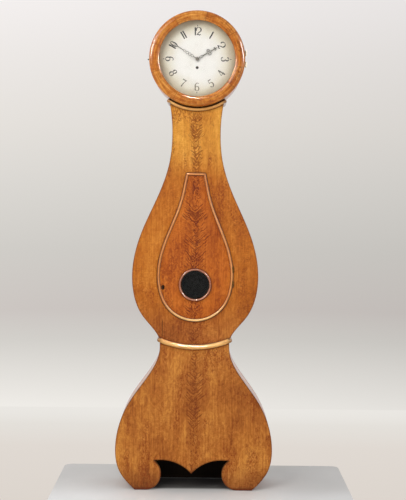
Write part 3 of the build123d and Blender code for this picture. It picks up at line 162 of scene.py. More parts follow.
def flame_birch(name, shades, face=None, feather=0.0, feather_reach=0.05, vees=(), neck=None,
                foot=None, curls=0.6, reds=0.85, stain=None, split=None):
    """French-polished flame birch, its grain upright: fine streaks, curls that cross them and red
    flecks in clusters. A front's feather mirrors on its centre line, boldest between the heights
    of vees, and its veneer ends at face, with the pine core behind. Without a face, the board is a
    bent side. Neck and foot are runs of height to other shades; stain and split are one dark
    patch and one crack."""
    made, tree, surface, _, (x, y, z) = finish(name)
    side_shift = 0.7  # a bent side's figure differs from a front's
    sideways = maths(tree, "ADD", y, side_shift) if face is None else x
    leaf = vector(tree, sideways, 0.0, z)
    fibre = cloud(tree, leaf, (700.0, 1.0, 16.0), detail=4.0, roughness=0.65)
    streak = cloud(tree, leaf, (150.0, 1.0, 6.0), detail=4.0, roughness=0.7)
    mottle = cloud(tree, leaf, (70.0, 1.0, 38.0), detail=4.0, roughness=0.65, distortion=1.0)
    drift = cloud(tree, leaf, (8.0, 1.0, 4.0), detail=2.0)
    curl = cloud(tree, leaf, (40.0, 1.0, 90.0), roughness=0.6, distortion=2.5)
    curl_patch = between(tree, cloud(tree, leaf, (6.0, 1.0, 5.0), detail=1.0), 0.4, 0.58)
    curl = times(tree, maths(tree, "SUBTRACT", curl, 0.5), curl_patch)
    streaks, mottles, drifts = 0.6, 0.65, 0.7
    tone = 0.5 - (streaks + mottles + drifts) / 2
    for noise, share in ((streak, streaks), (mottle, mottles), (drift, drifts), (curl, curls)):
        tone = maths(tree, "MULTIPLY_ADD", noise, share, tone)
    tones = 0.26, 0.5, 0.74
    shade = ramp(tree, tone, *zip(tones, shades))
    for start, end, others in filter(None, (neck, foot)):
        other = ramp(tree, tone, *zip(tones, others))
        shade = mixed(tree, between(tree, z, start, end), shade, other)
    cluster = cloud(tree, leaf, (13.0, 1.0, 4.5), roughness=0.6)
    cluster = between(tree, cluster, 0.5, 0.6)
    if stain:
        stain_x, stain_z, stain_reach = stain
        away = vector_maths(tree, "DISTANCE", leaf, (stain_x, 0.0, stain_z))
        cluster = maths(tree, "MAXIMUM", cluster, between(tree, away, stain_reach, stain_reach / 2))
    fleck = cloud(tree, leaf, (150.0, 1.0, 85.0), roughness=0.7, distortion=0.6)
    fleck = times(tree, cluster, between(tree, fleck, 0.44, 0.62))
    shade = mixed(tree, times(tree, fleck, reds), shade, colour(128, 50, 14))
    if feather:
        sway = cloud(tree, leaf, (9.0, 1.0, 9.0), detail=1.0)
        middle = maths(tree, "MULTIPLY_ADD", sway, 0.03, maths(tree, "SUBTRACT", x, 0.015))
        across = maths(tree, "ABSOLUTE", middle)
        lean = maths(tree, "MULTIPLY_ADD", across, -0.9, z)
        ripple = cloud(tree, leaf, (42.0, 1.0, 42.0), detail=2.0)
        lean = maths(tree, "MULTIPLY_ADD", ripple, 0.022, lean)
        chevron = vector(tree, across, 0.0, lean)
        strokes = cloud(tree, chevron, (26.0, 1.0, 130.0), detail=2.0, roughness=0.6)
        mark = times(tree, between(tree, strokes, 0.5, 0.6), 0.45)
        shake = cloud(tree, chevron, (14.0, 1.0, 26.0), detail=2.0)
        wave = maths(tree, "MULTIPLY_ADD", shake, 6.0, times(tree, lean, 430.0))
        wave = between(tree, maths(tree, "SINE", wave), 0.1, 0.8)
        broken = between(tree, cloud(tree, chevron, (26.0, 1.0, 60.0), detail=2.0), 0.42, 0.54)
        mark = maths(tree, "MAXIMUM", mark, times(tree, wave, broken))
        fray = cloud(tree, leaf, (2.0, 1.0, 16.0), detail=1.0)
        wide = maths(tree, "MULTIPLY_ADD", fray, 0.09, across)
        near = between(tree, wide, feather_reach + 0.045, feather_reach * 0.3 + 0.045)
        patches = between(tree, cloud(tree, leaf, (3.0, 1.0, 9.0), detail=2.0), 0.4, 0.6, 0.1, 0.65)
        for low, high in vees:
            bold = times(tree, between(tree, z, low - 0.02, low + 0.01),
                         between(tree, z, high + 0.02, high - 0.01))
            patches = maths(tree, "MAXIMUM", patches, bold)
        mark = times(tree, times(tree, mark, near), patches)
        knots = cloud(tree, leaf, (80.0, 1.0, 55.0), distortion=2.5)
        knots = times(tree, between(tree, knots, 0.44, 0.64), between(tree, across, 0.03, 0.006))
        mark = between(tree, maths(tree, "MAXIMUM", mark, times(tree, knots, 0.7)), 0.0, 0.58)
        mark = times(tree, mark, between(tree, fibre, 0.25, 0.6, 0.6, 1.0))
        shade = mixed(tree, times(tree, mark, feather), shade, colour(102, 32, 5))
    if split:
        split_x, split_low, split_high = split
        off_line = maths(tree, "ABSOLUTE", maths(tree, "SUBTRACT", x, split_x))
        line = times(tree, between(tree, off_line, 0.0016, 0.0007),
                     times(tree, between(tree, z, split_low, split_low + 0.01),
                           between(tree, z, split_high, split_high - 0.02)))
        shade = mixed(tree, line, shade, colour(42, 20, 8))
    # Painted shade: darker in the corners beside the bead, the collars and the feet.
    shade = grime(tree, shade, 0.022, 0.9, shade_colour=colour(88, 30, 6), closed=0.64, clear=0.96)
    # Painted shade: darker along the board's rounded outer edges, which turn away from the light.
    rim = put(tree, "ShaderNodeAmbientOcclusion", {"Distance": 0.007}, out=1, samples=8,
              inside=True, only_local=True)
    shade = mixed(tree, between(tree, rim, 0.98, 0.6, 0.0, 0.55), shade, colour(78, 36, 10))
    if face is not None:
        shade = mixed(tree, between(tree, y, face, face + 0.0002), shade, colour(120, 78, 40))
    colour_surface(tree, surface, shade, fibre, 0.36, 0.52)
    polish(surface, 0.1, 0.08 if face is not None else 0.6, 0.14)
    relief(tree, surface, maths(tree, "MULTIPLY_ADD", fibre, 0.4, curl), 0.0003, 0.6)
    return made


def dress(material, *names):
    """Gives these pieces of the frame one finish."""
    for name in names:
        for place in nodes[name].material_slots:
            place.material = material


veneer = 0.0013
front_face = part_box("plinth_front")[0].y
plinth_shades = colour(130, 62, 18), colour(181, 107, 40), colour(216, 146, 64)
sole_shades = colour(84, 38, 12), colour(138, 76, 28), colour(176, 108, 46)
dress(
    flame_birch("plinth veneer", plinth_shades, face=front_face + veneer, feather=0.75,
                feather_reach=0.045, vees=((0.28, 0.5),), foot=(0.13, 0.01, sole_shades),
                curls=0.4, reds=0.8),
    "plinth_front",
)
dress(flame_birch("side veneer", plinth_shades), "plinth_side_left", "plinth_side_right")

# ------------------------
# The waist: one pear-shaped front board, veneered as the plinth is, between thin bent sides.
# The polish has bleached towards the neck, where the birch is golden.

waist_shades = colour(140, 66, 14), colour(184, 102, 26), colour(211, 133, 47)
neck_shades = colour(180, 108, 33), colour(214, 144, 52), colour(234, 171, 74)
foot_shades = colour(118, 56, 18), colour(166, 92, 34), colour(200, 126, 54)
dress(
    flame_birch("waist veneer", waist_shades, face=front_face + veneer, feather=0.8,
                feather_reach=0.03, vees=((1.37, 1.6),), neck=(1.28, 1.5, neck_shades),
                foot=(0.86, 0.64, foot_shades), split=(-0.1385, 0.652, 0.738)),
    "waist_front",
)
dress(
    flame_birch("waist side veneer", waist_shades, neck=(1.1, 1.5, neck_shades)),
    "waist_side_left", "waist_side_right",
)

# ------------------------
# The carcase: planed pine that nobody sees from the front. The back boards are nailed, the glue
# blocks, runners, rails and cheeks are rubbed in with hot glue, and the seat board carries the
# movement. Never polished; it has gone brown. Its corners are darkened with painted shade, and the
# plinth's back board is painted black on its inside as shade.


def pine(name, along="z", black_shade_before=None):
    """Planed pine with its growth rings, its fibres along x, y or z; painted black as shade before
    a depth inside the case."""
    made, tree, surface, _, (x, y, z) = finish(name)
    order = {"z": (x, y, z), "y": (x, z, y), "x": (z, y, x)}[along]
    board = vector(tree, *order)
    wander = cloud(tree, board, (1.4, 1.4, 0.7), detail=2.0)
    reach = maths(tree, "MULTIPLY_ADD", wander, 0.24, maths(tree, "ABSOLUTE", order[0]))
    rings = maths(tree, "SINE", times(tree, reach, 900.0))
    rings = between(tree, rings, -0.4, 1.0)
    fibre = cloud(tree, board, (420.0, 420.0, 7.0), detail=4.0, roughness=0.6)
    stain = cloud(tree, board, (7.0, 7.0, 3.0), detail=4.0, roughness=0.6)
    tone = maths(tree, "MULTIPLY_ADD", fibre, 0.5, times(tree, rings, 0.42))
    shade = ramp(tree, tone, (0.15, colour(190, 152, 104)), (0.75, colour(142, 100, 60)))
    shade = mixed(tree, between(tree, stain, 0.45, 0.75, 0.0, 0.45), shade, colour(96, 70, 46))
    # Painted shade: the plinth's inside is painted black, standing in for deep shade.
    if black_shade_before is not None:
        inside = maths(tree, "LESS_THAN", y, black_shade_before)
        shade = mixed(tree, times(tree, inside, 0.97), shade, colour(8, 5, 4))
    # Painted shade in the corners of the carcase.
    shade = grime(tree, shade, 0.02, 0.6, shade_colour=colour(44, 30, 20))
    colour_surface(tree, surface, shade, fibre, 0.62, 0.82)
    surface.inputs["Specular IOR Level"].default_value = 0.1
    relief(tree, surface, maths(tree, "ADD", fibre, times(tree, rings, 0.3)), 0.0004, 0.7)
    return made


dress(pine("back boards"), "waist_back", "hood_back", "seat_cheeks", "porthole_retainer")
plinth_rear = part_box("plinth_back")[1].y
dress(pine("plinth pine", black_shade_before=plinth_rear - 0.0005), "plinth_back", "glue_blocks")
dress(pine("seat board", along="x"), "seat_board")
dress(pine("runners", along="y"), "hood_runners", "hood_rails")

# ------------------------
# Collars and door bead: strips of pale, straight-grained birch, worked to a half round and bent
# over the joints while hot, then glued and pinned. The collars are darkened towards their ends with
# painted shade, and the bead pales to gold towards its foot with a painted highlight.


def plain_birch(name, deep, pale, along="x", gloss=0.24, ends=None, coat=0.3, wear_and_light=None):
    """Straight-grained polished birch, its fibres along x or z; darker at its ends with painted
    shade, and paler gold towards its foot with a painted highlight."""
    made, tree, surface, place, (x, _, z) = finish(name)
    long, fine = 12.0, 500.0
    stretch = {"x": (long, fine, fine), "z": (fine, fine, long)}[along]
    fibre = cloud(tree, place, stretch, roughness=0.6)
    soft = cloud(tree, place, tuple(part / 14 for part in stretch))
    tone = maths(tree, "MULTIPLY_ADD", fibre, 0.5, times(tree, soft, 0.5))
    shade = ramp(tree, tone, (0.32, deep), (0.62, pale))
    # Painted shade: the collars darken towards their ends, where they turn back along the sides.
    if ends:
        darkened = between(tree, maths(tree, "ABSOLUTE", x), ends - 0.03, ends, 0.0, 0.8)
        shade = mixed(tree, darkened, shade, colour(112, 62, 28))
    # Painted highlight: the bead pales to gold towards its lowest arc, which faces the light.
    if wear_and_light:
        rubbed_and_lit = between(tree, z, wear_and_light + 0.1, wear_and_light, 0.0, 0.85)
        shade = mixed(tree, rubbed_and_lit, shade, colour(252, 204, 130))
    # Painted shade in the corners beside the strip.
    shade = grime(tree, shade, 0.012, 0.95)
    colour_surface(tree, surface, shade, fibre, gloss, gloss + 0.12)
    polish(surface, 0.25, coat, 0.09)
    relief(tree, surface, fibre, 0.0002, 0.5)
    return made


for collar in ("neck_collar", "waist_collar"):
    dress(plain_birch(collar + " birch", colour(206, 136, 62), colour(248, 196, 118),
                      ends=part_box(collar)[1].x), collar)
dress(plain_birch("bead birch", colour(184, 104, 48), colour(232, 160, 92), along="z",
                  wear_and_light=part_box("door_bead")[0].z), "door_bead")

# ------------------------
# The door: a panel of the richest, reddest feather birch, with a turned ring round the pendulum's
# porthole, a disc of thin glass behind it, a brass-lined keyhole and an iron lock on its back.

dress(
    flame_birch("door veneer", (colour(138, 56, 10), colour(189, 98, 25), colour(214, 126, 42)),
                face=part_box("door_panel")[0].y + veneer, feather=1.0, feather_reach=0.07,
                vees=((0.98, 1.07), (1.14, 1.22)), reds=0.7, stain=(-0.03, 0.945, 0.06)),
    "door_panel",
)
dress(plain_birch("ring birch", colour(142, 80, 52), colour(196, 132, 102), gloss=0.1, coat=1.0),
      "porthole_ring")


def glass(name, tint):
    """Thin old sheet glass, which lets the lamps through to what stands behind it."""
    made, tree, surface, place, _ = finish(name)
    surface.inputs["Base Color"].default_value = tint
    surface.inputs["Roughness"].default_value = 0.02
    surface.inputs["IOR"].default_value = 1.3
    surface.inputs["Transmission Weight"].default_value = 1.0
    relief(tree, surface, cloud(tree, place, (14.0, 14.0, 9.0), detail=1.0), 0.0006, 0.15)
    clear = put(tree, "ShaderNodeBsdfTransparent", {"Color": tint})
    paths = tree.nodes.new("ShaderNodeLightPath").outputs
    lamp_ray = maths(tree, "MAXIMUM", paths["Is Shadow Ray"], paths["Is Diffuse Ray"])
    shown = put(tree, "ShaderNodeMixShader", {0: lamp_ray, 1: surface.outputs[0], 2: clear})
    tree.links.new(shown, tree.nodes["Material Output"].inputs["Surface"])
    return made


# Its grey tint darkens the view into the case, a painted shade over what hangs behind the door.
dress(glass("porthole glass", colour(186, 188, 184)), "porthole_glass")


def metal(name, dull, bright, tarnish, rough, spots=0.25, arbor=None):
    """Hand-finished metal: filed, smeared by hands, and tarnished in clouds. A wheel has a steel
    arbor.
    """
    made, tree, surface, place, _ = finish(name)
    smear = cloud(tree, place, (60.0, 60.0, 60.0), detail=5.0, roughness=0.65)
    scratch = cloud(tree, place, (900.0, 900.0, 60.0), detail=2.0)
    shade = ramp(tree, smear, (0.35, dull), (0.6, bright))
    freckle = cloud(tree, place, (230.0, 230.0, 230.0))
    shade = mixed(tree, between(tree, freckle, 0.56, 0.7, 0.0, spots), shade, tarnish)
    if arbor:
        away = vector_maths(tree, "SUBTRACT", place, (arbor.x, 0.0, arbor.z))
        reach = vector_maths(tree, "LENGTH", vector_maths(tree, "MULTIPLY", away, (1.0, 0.0, 1.0)))
        shade = mixed(tree, between(tree, reach, arbor_reach, arbor_reach - 0.0004), shade,
                      colour(50, 48, 48))
    # Painted shade in the small corners of the metal.
    shade = grime(tree, shade, 0.004, 0.5)
    colour_surface(tree, surface, shade, smear, rough + 0.14, rough)
    surface.inputs["Metallic"].default_value = 1.0
    relief(tree, surface, maths(tree, "MULTIPLY_ADD", scratch, 0.5, smear), 0.00012, 0.5)
    return made


old_brass, new_brass, brown = colour(160, 122, 60), colour(204, 168, 96), colour(92, 62, 30)
arbor_reach = 0.0062
brass = metal("brass", old_brass, new_brass, brown, 0.26)
pale_brass = metal("pale brass", colour(160, 146, 120), colour(190, 180, 158), brown, 0.5,
                   spots=0.1)
dark_brass = metal("tarnished brass", colour(84, 60, 30), colour(118, 86, 46), colour(50, 34, 18),
                   0.4)
iron = metal("forged iron", colour(52, 48, 45), colour(74, 70, 66), colour(70, 42, 26), 0.48)
steel = metal("steel", colour(126, 126, 128), colour(168, 168, 170), colour(82, 74, 66), 0.24)
dress(metal("handled brass", colour(34, 22, 14), colour(84, 62, 44), colour(20, 12, 8), 0.22,
            spots=0.7), "lock_escutcheon")
dress(dark_brass, "door_hinge_case_leaves", "door_hinge_door_leaves")
dress(iron, "lock_case", "lock_bolt")

# ------------------------
# The movement: two brass plates on four pillars, brass wheels with cut teeth on steel arbors, a
# grooved barrel for the gut line, an anchor and crutch of steel, and a cast iron pendulum bob and
# weight below.

dress(dark_brass, "movement_front_plate")
dress(brass, "movement_back_plate", "plate_pillars", "back_cock", "rating_nut",
      "cannon_pinion", "minute_wheel", "hour_wheel")
for wheel in ("barrel", "great_wheel", "centre_wheel", "third_wheel", "escape_wheel"):
    low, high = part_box(wheel)
    dress(metal(wheel + " brass", old_brass, new_brass, brown, 0.26, arbor=(low + high) / 2), wheel)
dress(steel, "anchor", "crutch", "suspension_spring", "pendulum_rod")
dress(iron, "click", "dial_posts", "weight", "pendulum_bob")


def gut(name):
    """Twisted gut, greased and browned."""
    made, tree, surface, place, _ = finish(name)
    twist = put(tree, "ShaderNodeTexWave", {"Vector": place, "Scale": 180.0, "Distortion": 1.0},
                out=1, bands_direction="DIAGONAL")
    shade = ramp(tree, twist, (0.2, colour(128, 100, 60)), (0.8, colour(196, 166, 112)))
    tree.links.new(shade, surface.inputs["Base Color"])
    tree.links.new(between(tree, twist, 0.2, 0.8, 0.38, 0.55), surface.inputs["Roughness"])
    relief(tree, surface, twist, 0.0002)
    return made


dress(gut("gut"), "gut_line")

# ------------------------
# The dial: sheet iron with cream oil paint, yellowed and dirty towards its rim, and numerals
# brushed on in black. Those of the lower half stand with their heads to the centre.

dial_height = 1.845
dial_face = -0.078
numeral_radius = 0.119
numeral_height = 0.035
thick_stroke, thin_stroke = 0.078, 0.028  # half a brush stroke, in heights of a numeral
paint_thickness = 0.00012


def dial_paint(name):
    """Old oil paint, finely cracked, its brown rim dirtier, and dark grey round the hole for the
    winding key.
    """
    made, tree, surface, place, (x, _, z) = finish(name)
    rise = maths(tree, "SUBTRACT", z, dial_height)
    flat = vector(tree, x, 0.0, rise)
    reach = vector_maths(tree, "LENGTH", flat)
    soft = cloud(tree, place, (11.0, 11.0, 11.0), detail=4.0, roughness=0.6)
    dirt_edge = maths(tree, "MULTIPLY_ADD", soft, 0.05, reach)
    shade = ramp(tree, between(tree, dirt_edge, 0.1, 0.205), (0.0, colour(246, 244, 238)),
                 (0.5, colour(234, 228, 210)), (1.0, colour(180, 162, 124)))
    shade = mixed(tree, between(tree, soft, 0.5, 0.72, 0.0, 0.18), shade, colour(216, 206, 186))
    cells = put(tree, "ShaderNodeTexVoronoi", {"Vector": place, "Scale": 190.0},
                feature="DISTANCE_TO_EDGE")
    crack = between(tree, cells, 0.0, 0.035, 1.0, 0.0)
    wear_and_light = between(tree, cloud(tree, place, (24.0, 24.0, 24.0)), 0.5, 0.66, 0.0, 0.4)
    shade = mixed(tree, times(tree, crack, wear_and_light), shade, colour(128, 112, 84))
    low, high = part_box("barrel")
    off_key = vector_maths(tree, "DISTANCE", flat, (0.0, 0.0, low.z / 2 + high.z / 2 - dial_height))
    shade = mixed(tree, between(tree, off_key, 0.0075, 0.0045), shade, colour(58, 50, 42))
    # Painted shade in the dial's corners and beside its numerals.
    shade = grime(tree, shade, 0.012, 0.5, shade_colour=colour(60, 48, 34))
    colour_surface(tree, surface, shade, soft, 0.42, 0.56)
    relief(tree, surface, maths(tree, "SUBTRACT", soft, crack), 0.0002, 0.4)
    return made


dress(dial_paint("dial paint"), "dial_plate")


def bowl(centre, across, up, start, end, steps=14):
    """Points on an oval, in degrees from three o'clock, thick at its sides and thin at its ends."""
    points = []
    for step in range(steps + 1):
        turn = math.radians(start + (end - start) * step / steps)
        press = abs(math.cos(turn)) ** 1.6
        width = thin_stroke + (thick_stroke - thin_stroke) * press
        points.append((centre[0] + across * math.cos(turn), centre[1] + up * math.sin(turn), width))
    return points


thin, thick = thin_stroke, thick_stroke
figures = {  # brush strokes of each figure: across, up and half a width, in heights of a numeral
    "0": [bowl((0.0, 0.0), 0.18, 0.48, 0, 360)],
    "1": [[(0.02, 0.5, thin), (0.02, 0.38, thick), (0.02, -0.4, thick), (0.02, -0.49, thin)],
          [(-0.12, 0.36, thin), (-0.04, 0.42, thin), (0.02, 0.5, thin)]],
    "2": [bowl((0.0, 0.19), 0.3, 0.3, 205, -60),
          [(0.14, -0.04, 0.07), (-0.06, -0.24, 0.04), (-0.24, -0.43, thin)],
          [(-0.24, -0.43, 0.04), (-0.06, -0.37, 0.06), (0.12, -0.45, 0.06), (0.27, -0.34, thin)]],
    "3": [[(-0.2, 0.26, 0.05)] + bowl((-0.02, 0.25), 0.19, 0.22, 150, -80),
          bowl((-0.02, -0.22), 0.22, 0.26, 85, -150) + [(-0.21, -0.26, 0.05)]],
    "4": [[(0.1, 0.5, thin), (0.1, 0.4, thick), (0.1, -0.49, thick)],
          [(0.1, 0.48, thin), (-0.26, -0.16, thin)],
          [(-0.28, -0.17, thin), (0.27, -0.17, thin)]],
    "5": [[(-0.17, 0.46, 0.05), (0.0, 0.42, 0.05), (0.2, 0.47, thin)],
          [(-0.17, 0.46, thin), (-0.17, 0.08, thin)],
          [(-0.17, 0.06, thin)] + bowl((-0.01, -0.18), 0.22, 0.3, 125, -140)
          + [(-0.2, -0.3, 0.05)]],
    "6": [[(0.17, 0.38, 0.045)] + bowl((0.02, 0.0), 0.24, 0.48, 60, 180),
          bowl((0.0, -0.2), 0.22, 0.28, 180, 540)],
    "7": [[(-0.22, 0.32, thin), (-0.2, 0.44, 0.05), (0.02, 0.41, 0.055), (0.24, 0.48, thin)],
          [(0.24, 0.48, thin), (0.06, 0.06, 0.045), (-0.02, -0.49, thick)]],
    "8": [bowl((0.0, 0.25), 0.18, 0.23, 0, 360), bowl((0.0, -0.23), 0.22, 0.26, 0, 360)],
    "9": [[(-0.17, -0.38, 0.045)] + bowl((-0.02, 0.0), 0.24, 0.48, 240, 360),
          bowl((0.0, 0.2), 0.22, 0.28, 0, 360)],
}
figure_width = {"1": 0.27, "0": 0.48}
usual_width = 0.56


def smooth_stroke(points, steps=5):
    """The stroke's points with a smooth run between them."""
    ends = [points[0]] + points + [points[-1]]
    run = []
    for a, b, c, d in zip(ends, ends[1:], ends[2:], ends[3:]):
        for step in range(steps):
            t = step / steps
            run.append(tuple(
                0.5 * (2 * q + (r - p) * t + (2 * p - 5 * q + 4 * r - s) * t**2
                       + (3 * q - p - 3 * r + s) * t**3)
                for p, q, r, s in zip(a, b, c, d)
            ))
    return run + [points[-1]]


def brush(shape, points, place, thickness):
    """Lays one stroke on the mesh as a thin raised ribbon of paint."""
    rows = []
    for index, (across, up, width) in enumerate(points):
        before, after = points[max(index - 1, 0)], points[min(index + 1, len(points) - 1)]
        along = Vector((after[0] - before[0], after[1] - before[1]))
        if along.length < 1e-9:
            continue
        side = Vector((-along.y, along.x)).normalized() * width
        row = []
        for way, depth in ((1, 0), (1, 1), (-1, 1), (-1, 0)):
            spot = place @ Vector((across + way * side.x, 0.0, up + way * side.y))
            row.append(shape.verts.new(spot + Vector((0.0, -thickness * depth, 0.0))))
        rows.append(row)
    for first, second in zip(rows, rows[1:]):
        for k in range(4):
            shape.faces.new((first[k], second[k], second[(k + 1) % 4], first[(k + 1) % 4]))
    shape.faces.new(rows[0])
    shape.faces.new(list(reversed(rows[-1])))


def new_object(name, shape, material):
    """Turns a built shape into an object."""
    mesh = bpy.data.meshes.new(name)
    shape.to_mesh(mesh)
    shape.free()
    mesh.materials.append(material)
    made = bpy.data.objects.new(name, mesh)
    bpy.context.scene.collection.objects.link(made)
    return made


def painted(name, shape):
    """Turns a built shape into a named piece of black paint on the dial."""
    bmesh.ops.recalc_face_normals(shape, faces=shape.faces)
    piece = new_object(name, shape, numeral_paint)
    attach(piece, "case")


def black_paint(name):
    """Brushed lampblack, scuffed through in places and most of all at the foot of the dial."""
    made, tree, surface, place, (_, _, z) = finish(name)
    wear_and_light = cloud(tree, place, (150.0, 150.0, 150.0), detail=4.0, roughness=0.7)
    lower = between(tree, z, dial_height + 0.02, dial_height - 0.12, 0.0, 0.16)
    rubbed_and_lit = maths(tree, "ADD", wear_and_light, lower)
    shade = ramp(tree, rubbed_and_lit, (0.46, colour(34, 31, 27)), (0.6, colour(62, 58, 48)),
                 (0.74, colour(150, 140, 116)))
    colour_surface(tree, surface, shade, wear_and_light, 0.4, 0.6)
    relief(tree, surface, wear_and_light, 0.00008, 0.5)
    return made


def dial_place(hour, radius):
    """The way out at this hour, and the place so far out from the middle of the dial."""
    turn = math.radians(30 * hour)
    outward = Vector((math.sin(turn), 0.0, math.cos(turn)))
    return outward, Vector((0.0, dial_face, dial_height)) + outward * radius


numeral_paint = black_paint("numeral paint")
numerals = bmesh.new()
for hour in range(1, 13):
    outward, centre = dial_place(hour, numeral_radius)
    head_out = not 3 < hour < 9
    up = outward if head_out else -outward
    right = Vector((up.z, 0.0, -up.x))
    digits = str(hour)
    widths = [figure_width.get(digit, usual_width) for digit in digits]
    left_edge = -sum(widths) / 2
    for layer, (digit, width) in enumerate(zip(digits, widths)):
        middle = centre + right * (left_edge + width / 2) * numeral_height
        left_edge += width
        axes = Matrix((right * numeral_height, (0, 1, 0), up * numeral_height)).transposed()
        place = Matrix.Translation(middle) @ axes.to_4x4()
        for stroke, points in enumerate(figures[digit]):
            run = smooth_stroke(points)
            brush(numerals, run, place, paint_thickness * (1 + 0.15 * stroke))
painted("dial_numerals", numerals)

# Small lozenges mark the quarters outside the numerals, brushed on with them.

quarter_radius = 0.1435
quarter_length, quarter_width = 0.0045, 0.002
quarters = bmesh.new()
for hour in (0, 3, 6, 9):
    outward, centre = dial_place(hour, quarter_radius)
    right = Vector((outward.z, 0.0, -outward.x))
    corners = [outward * quarter_length, right * quarter_width, -outward * quarter_length,
               -right * quarter_width]
    top = [quarters.verts.new(centre + c * 0.9 + Vector((0, -paint_thickness, 0))) for c in corners]
    foot = [quarters.verts.new(centre + c) for c in corners]
    quarters.faces.new(top)
    quarters.faces.new(list(reversed(foot)))
    for k in range(4):
        quarters.faces.new((foot[k], foot[(k + 1) % 4], top[(k + 1) % 4], top[k]))
painted("dial_quarter_marks", quarters)

# ------------------------
# The hands: sawn and filed from thin iron, pierced with rings, blued and since gone grey. The
# hour hand has kept more of its blue-black, and one nut holds both on their pipes.

hand_iron = metal("blued iron", colour(84, 82, 77), colour(128, 125, 117), colour(66, 56, 46), 0.5)
dress(hand_iron, "minute_hand", "hand_nut")
dress(metal("hour iron", colour(70, 68, 63), colour(106, 103, 96), colour(56, 48, 40), 0.5),
      "hour_hand")

# ------------------------
# The hood: a drum of thin veneered board bent to a round, with a flat ring at its front. It
# slides off forwards on two runners so that the movement can be reached.


def round_birch(name, shades, joints=(), gloss=0.26):
    """Polished birch whose fibres run round the hood, in glued lengths where joints are given."""
    made, tree, surface, _, (x, y, z) = finish(name)
    rise = maths(tree, "SUBTRACT", z, dial_height)
    angle = maths(tree, "ARCTAN2", x, rise)
    hoop_radius = 0.19
    arc = times(tree, angle, hoop_radius)
    reach = vector_maths(tree, "LENGTH", vector(tree, x, 0.0, rise))
    share = 0.0
    line = 0.0
    for joint in joints:
        past = maths(tree, "GREATER_THAN", angle, math.radians(joint))
        share = maths(tree, "ADD", past, share)
        gap = maths(tree, "ABSOLUTE", maths(tree, "SUBTRACT", angle, math.radians(joint)))
        line = maths(tree, "MAXIMUM", line, between(tree, gap, 0.005, 0.002))
    board = vector(tree, arc, y, reach)
    if joints:
        step = vector(tree, times(tree, share, 0.7), 0.0, 0.0)
        board = vector_maths(tree, "ADD", board, step)
    fibre = cloud(tree, board, (16.0, 460.0, 460.0), detail=4.0, roughness=0.65)
    streak = cloud(tree, board, (9.0, 120.0, 120.0), roughness=0.6)
    mottle = cloud(tree, board, (46.0, 80.0, 80.0), detail=4.0, roughness=0.65, distortion=0.8)
    curl = cloud(tree, board, (120.0, 30.0, 30.0))
    tone_shares = 0.35, 0.8, 0.45, 0.3
    tone = 0.5 - sum(tone_shares) / 2
    for noise, part in zip((fibre, streak, mottle, curl), tone_shares):
        tone = maths(tree, "MULTIPLY_ADD", noise, part, tone)
    shade = ramp(tree, tone, *zip((0.28, 0.5, 0.72), shades))
    cluster = between(tree, cloud(tree, board, (16.0, 30.0, 30.0)), 0.48, 0.6)
    fleck = cloud(tree, board, (110.0, 190.0, 190.0), roughness=0.7)
    red_side = between(tree, x, -0.1, 0.16, 0.2, 0.75)
    fleck = times(tree, times(tree, cluster, between(tree, fleck, 0.46, 0.58)), red_side)
    shade = mixed(tree, fleck, shade, colour(104, 40, 14))
    if joints:
        piece_tone = put(tree, "ShaderNodeTexWhiteNoise", {"W": share}, noise_dimensions="1D")
        shade = mixed(tree, between(tree, piece_tone, 0.0, 1.0, 0.0, 0.6), shade,
                      mixed(tree, 1.0, shade, colour(236, 206, 160), way="MULTIPLY"))
        shade = mixed(tree, times(tree, line, 0.75), shade, colour(70, 30, 10))
    # Painted shade in the corners of the hood and bezel.
    shade = grime(tree, shade, 0.012, 0.85)
    colour_surface(tree, surface, shade, fibre, gloss, gloss + 0.12)
    polish(surface, 0.18, 0.3, 0.1)
    relief(tree, surface, maths(tree, "MULTIPLY_ADD", curl, 0.6, fibre), 0.0003, 0.5)
    return made


dress(round_birch("hood veneer", waist_shades), "hood_drum", "hood_ring")

# ------------------------
# The bezel: solid birch in lengths glued end to end, turned to a bold round and hung on two brass
# hinges. Its glass is bedded in putty, and a small iron pull is screwed into its left edge.

bezel_joints = (-150.0, -108.0, -72.0, -29.5, 12.0, 55.0, 101.0, 128.0, 162.0)
bezel_birch = round_birch(
    "bezel birch", (colour(146, 68, 16), colour(196, 119, 42), colour(228, 164, 78)),
    joints=bezel_joints, gloss=0.18,
)


def rule(name, sizes):
    """A tree of geometry nodes, and its named inputs for sizes."""
    tree = bpy.data.node_groups.new(name, "GeometryNodeTree")
    tree.interface.new_socket("Geometry", in_out="INPUT", socket_type="NodeSocketGeometry")
    for label, kind in sizes.items():
        tree.interface.new_socket(label, in_out="INPUT", socket_type="NodeSocket" + kind)
    tree.interface.new_socket("Geometry", in_out="OUTPUT", socket_type="NodeSocketGeometry")
    return tree, tree.nodes.new("NodeGroupInput").outputs


def close_rule(tree, shape, material):
    """Ends a tree: its instances are made real and take their material."""
    shape = put(tree, "GeometryNodeRealizeInstances", {"Geometry": shape})
    shape = put(tree, "GeometryNodeSetMaterial", {"Geometry": shape, "Material": material})
    tree.links.new(shape, tree.nodes.new("NodeGroupOutput").inputs["Geometry"])


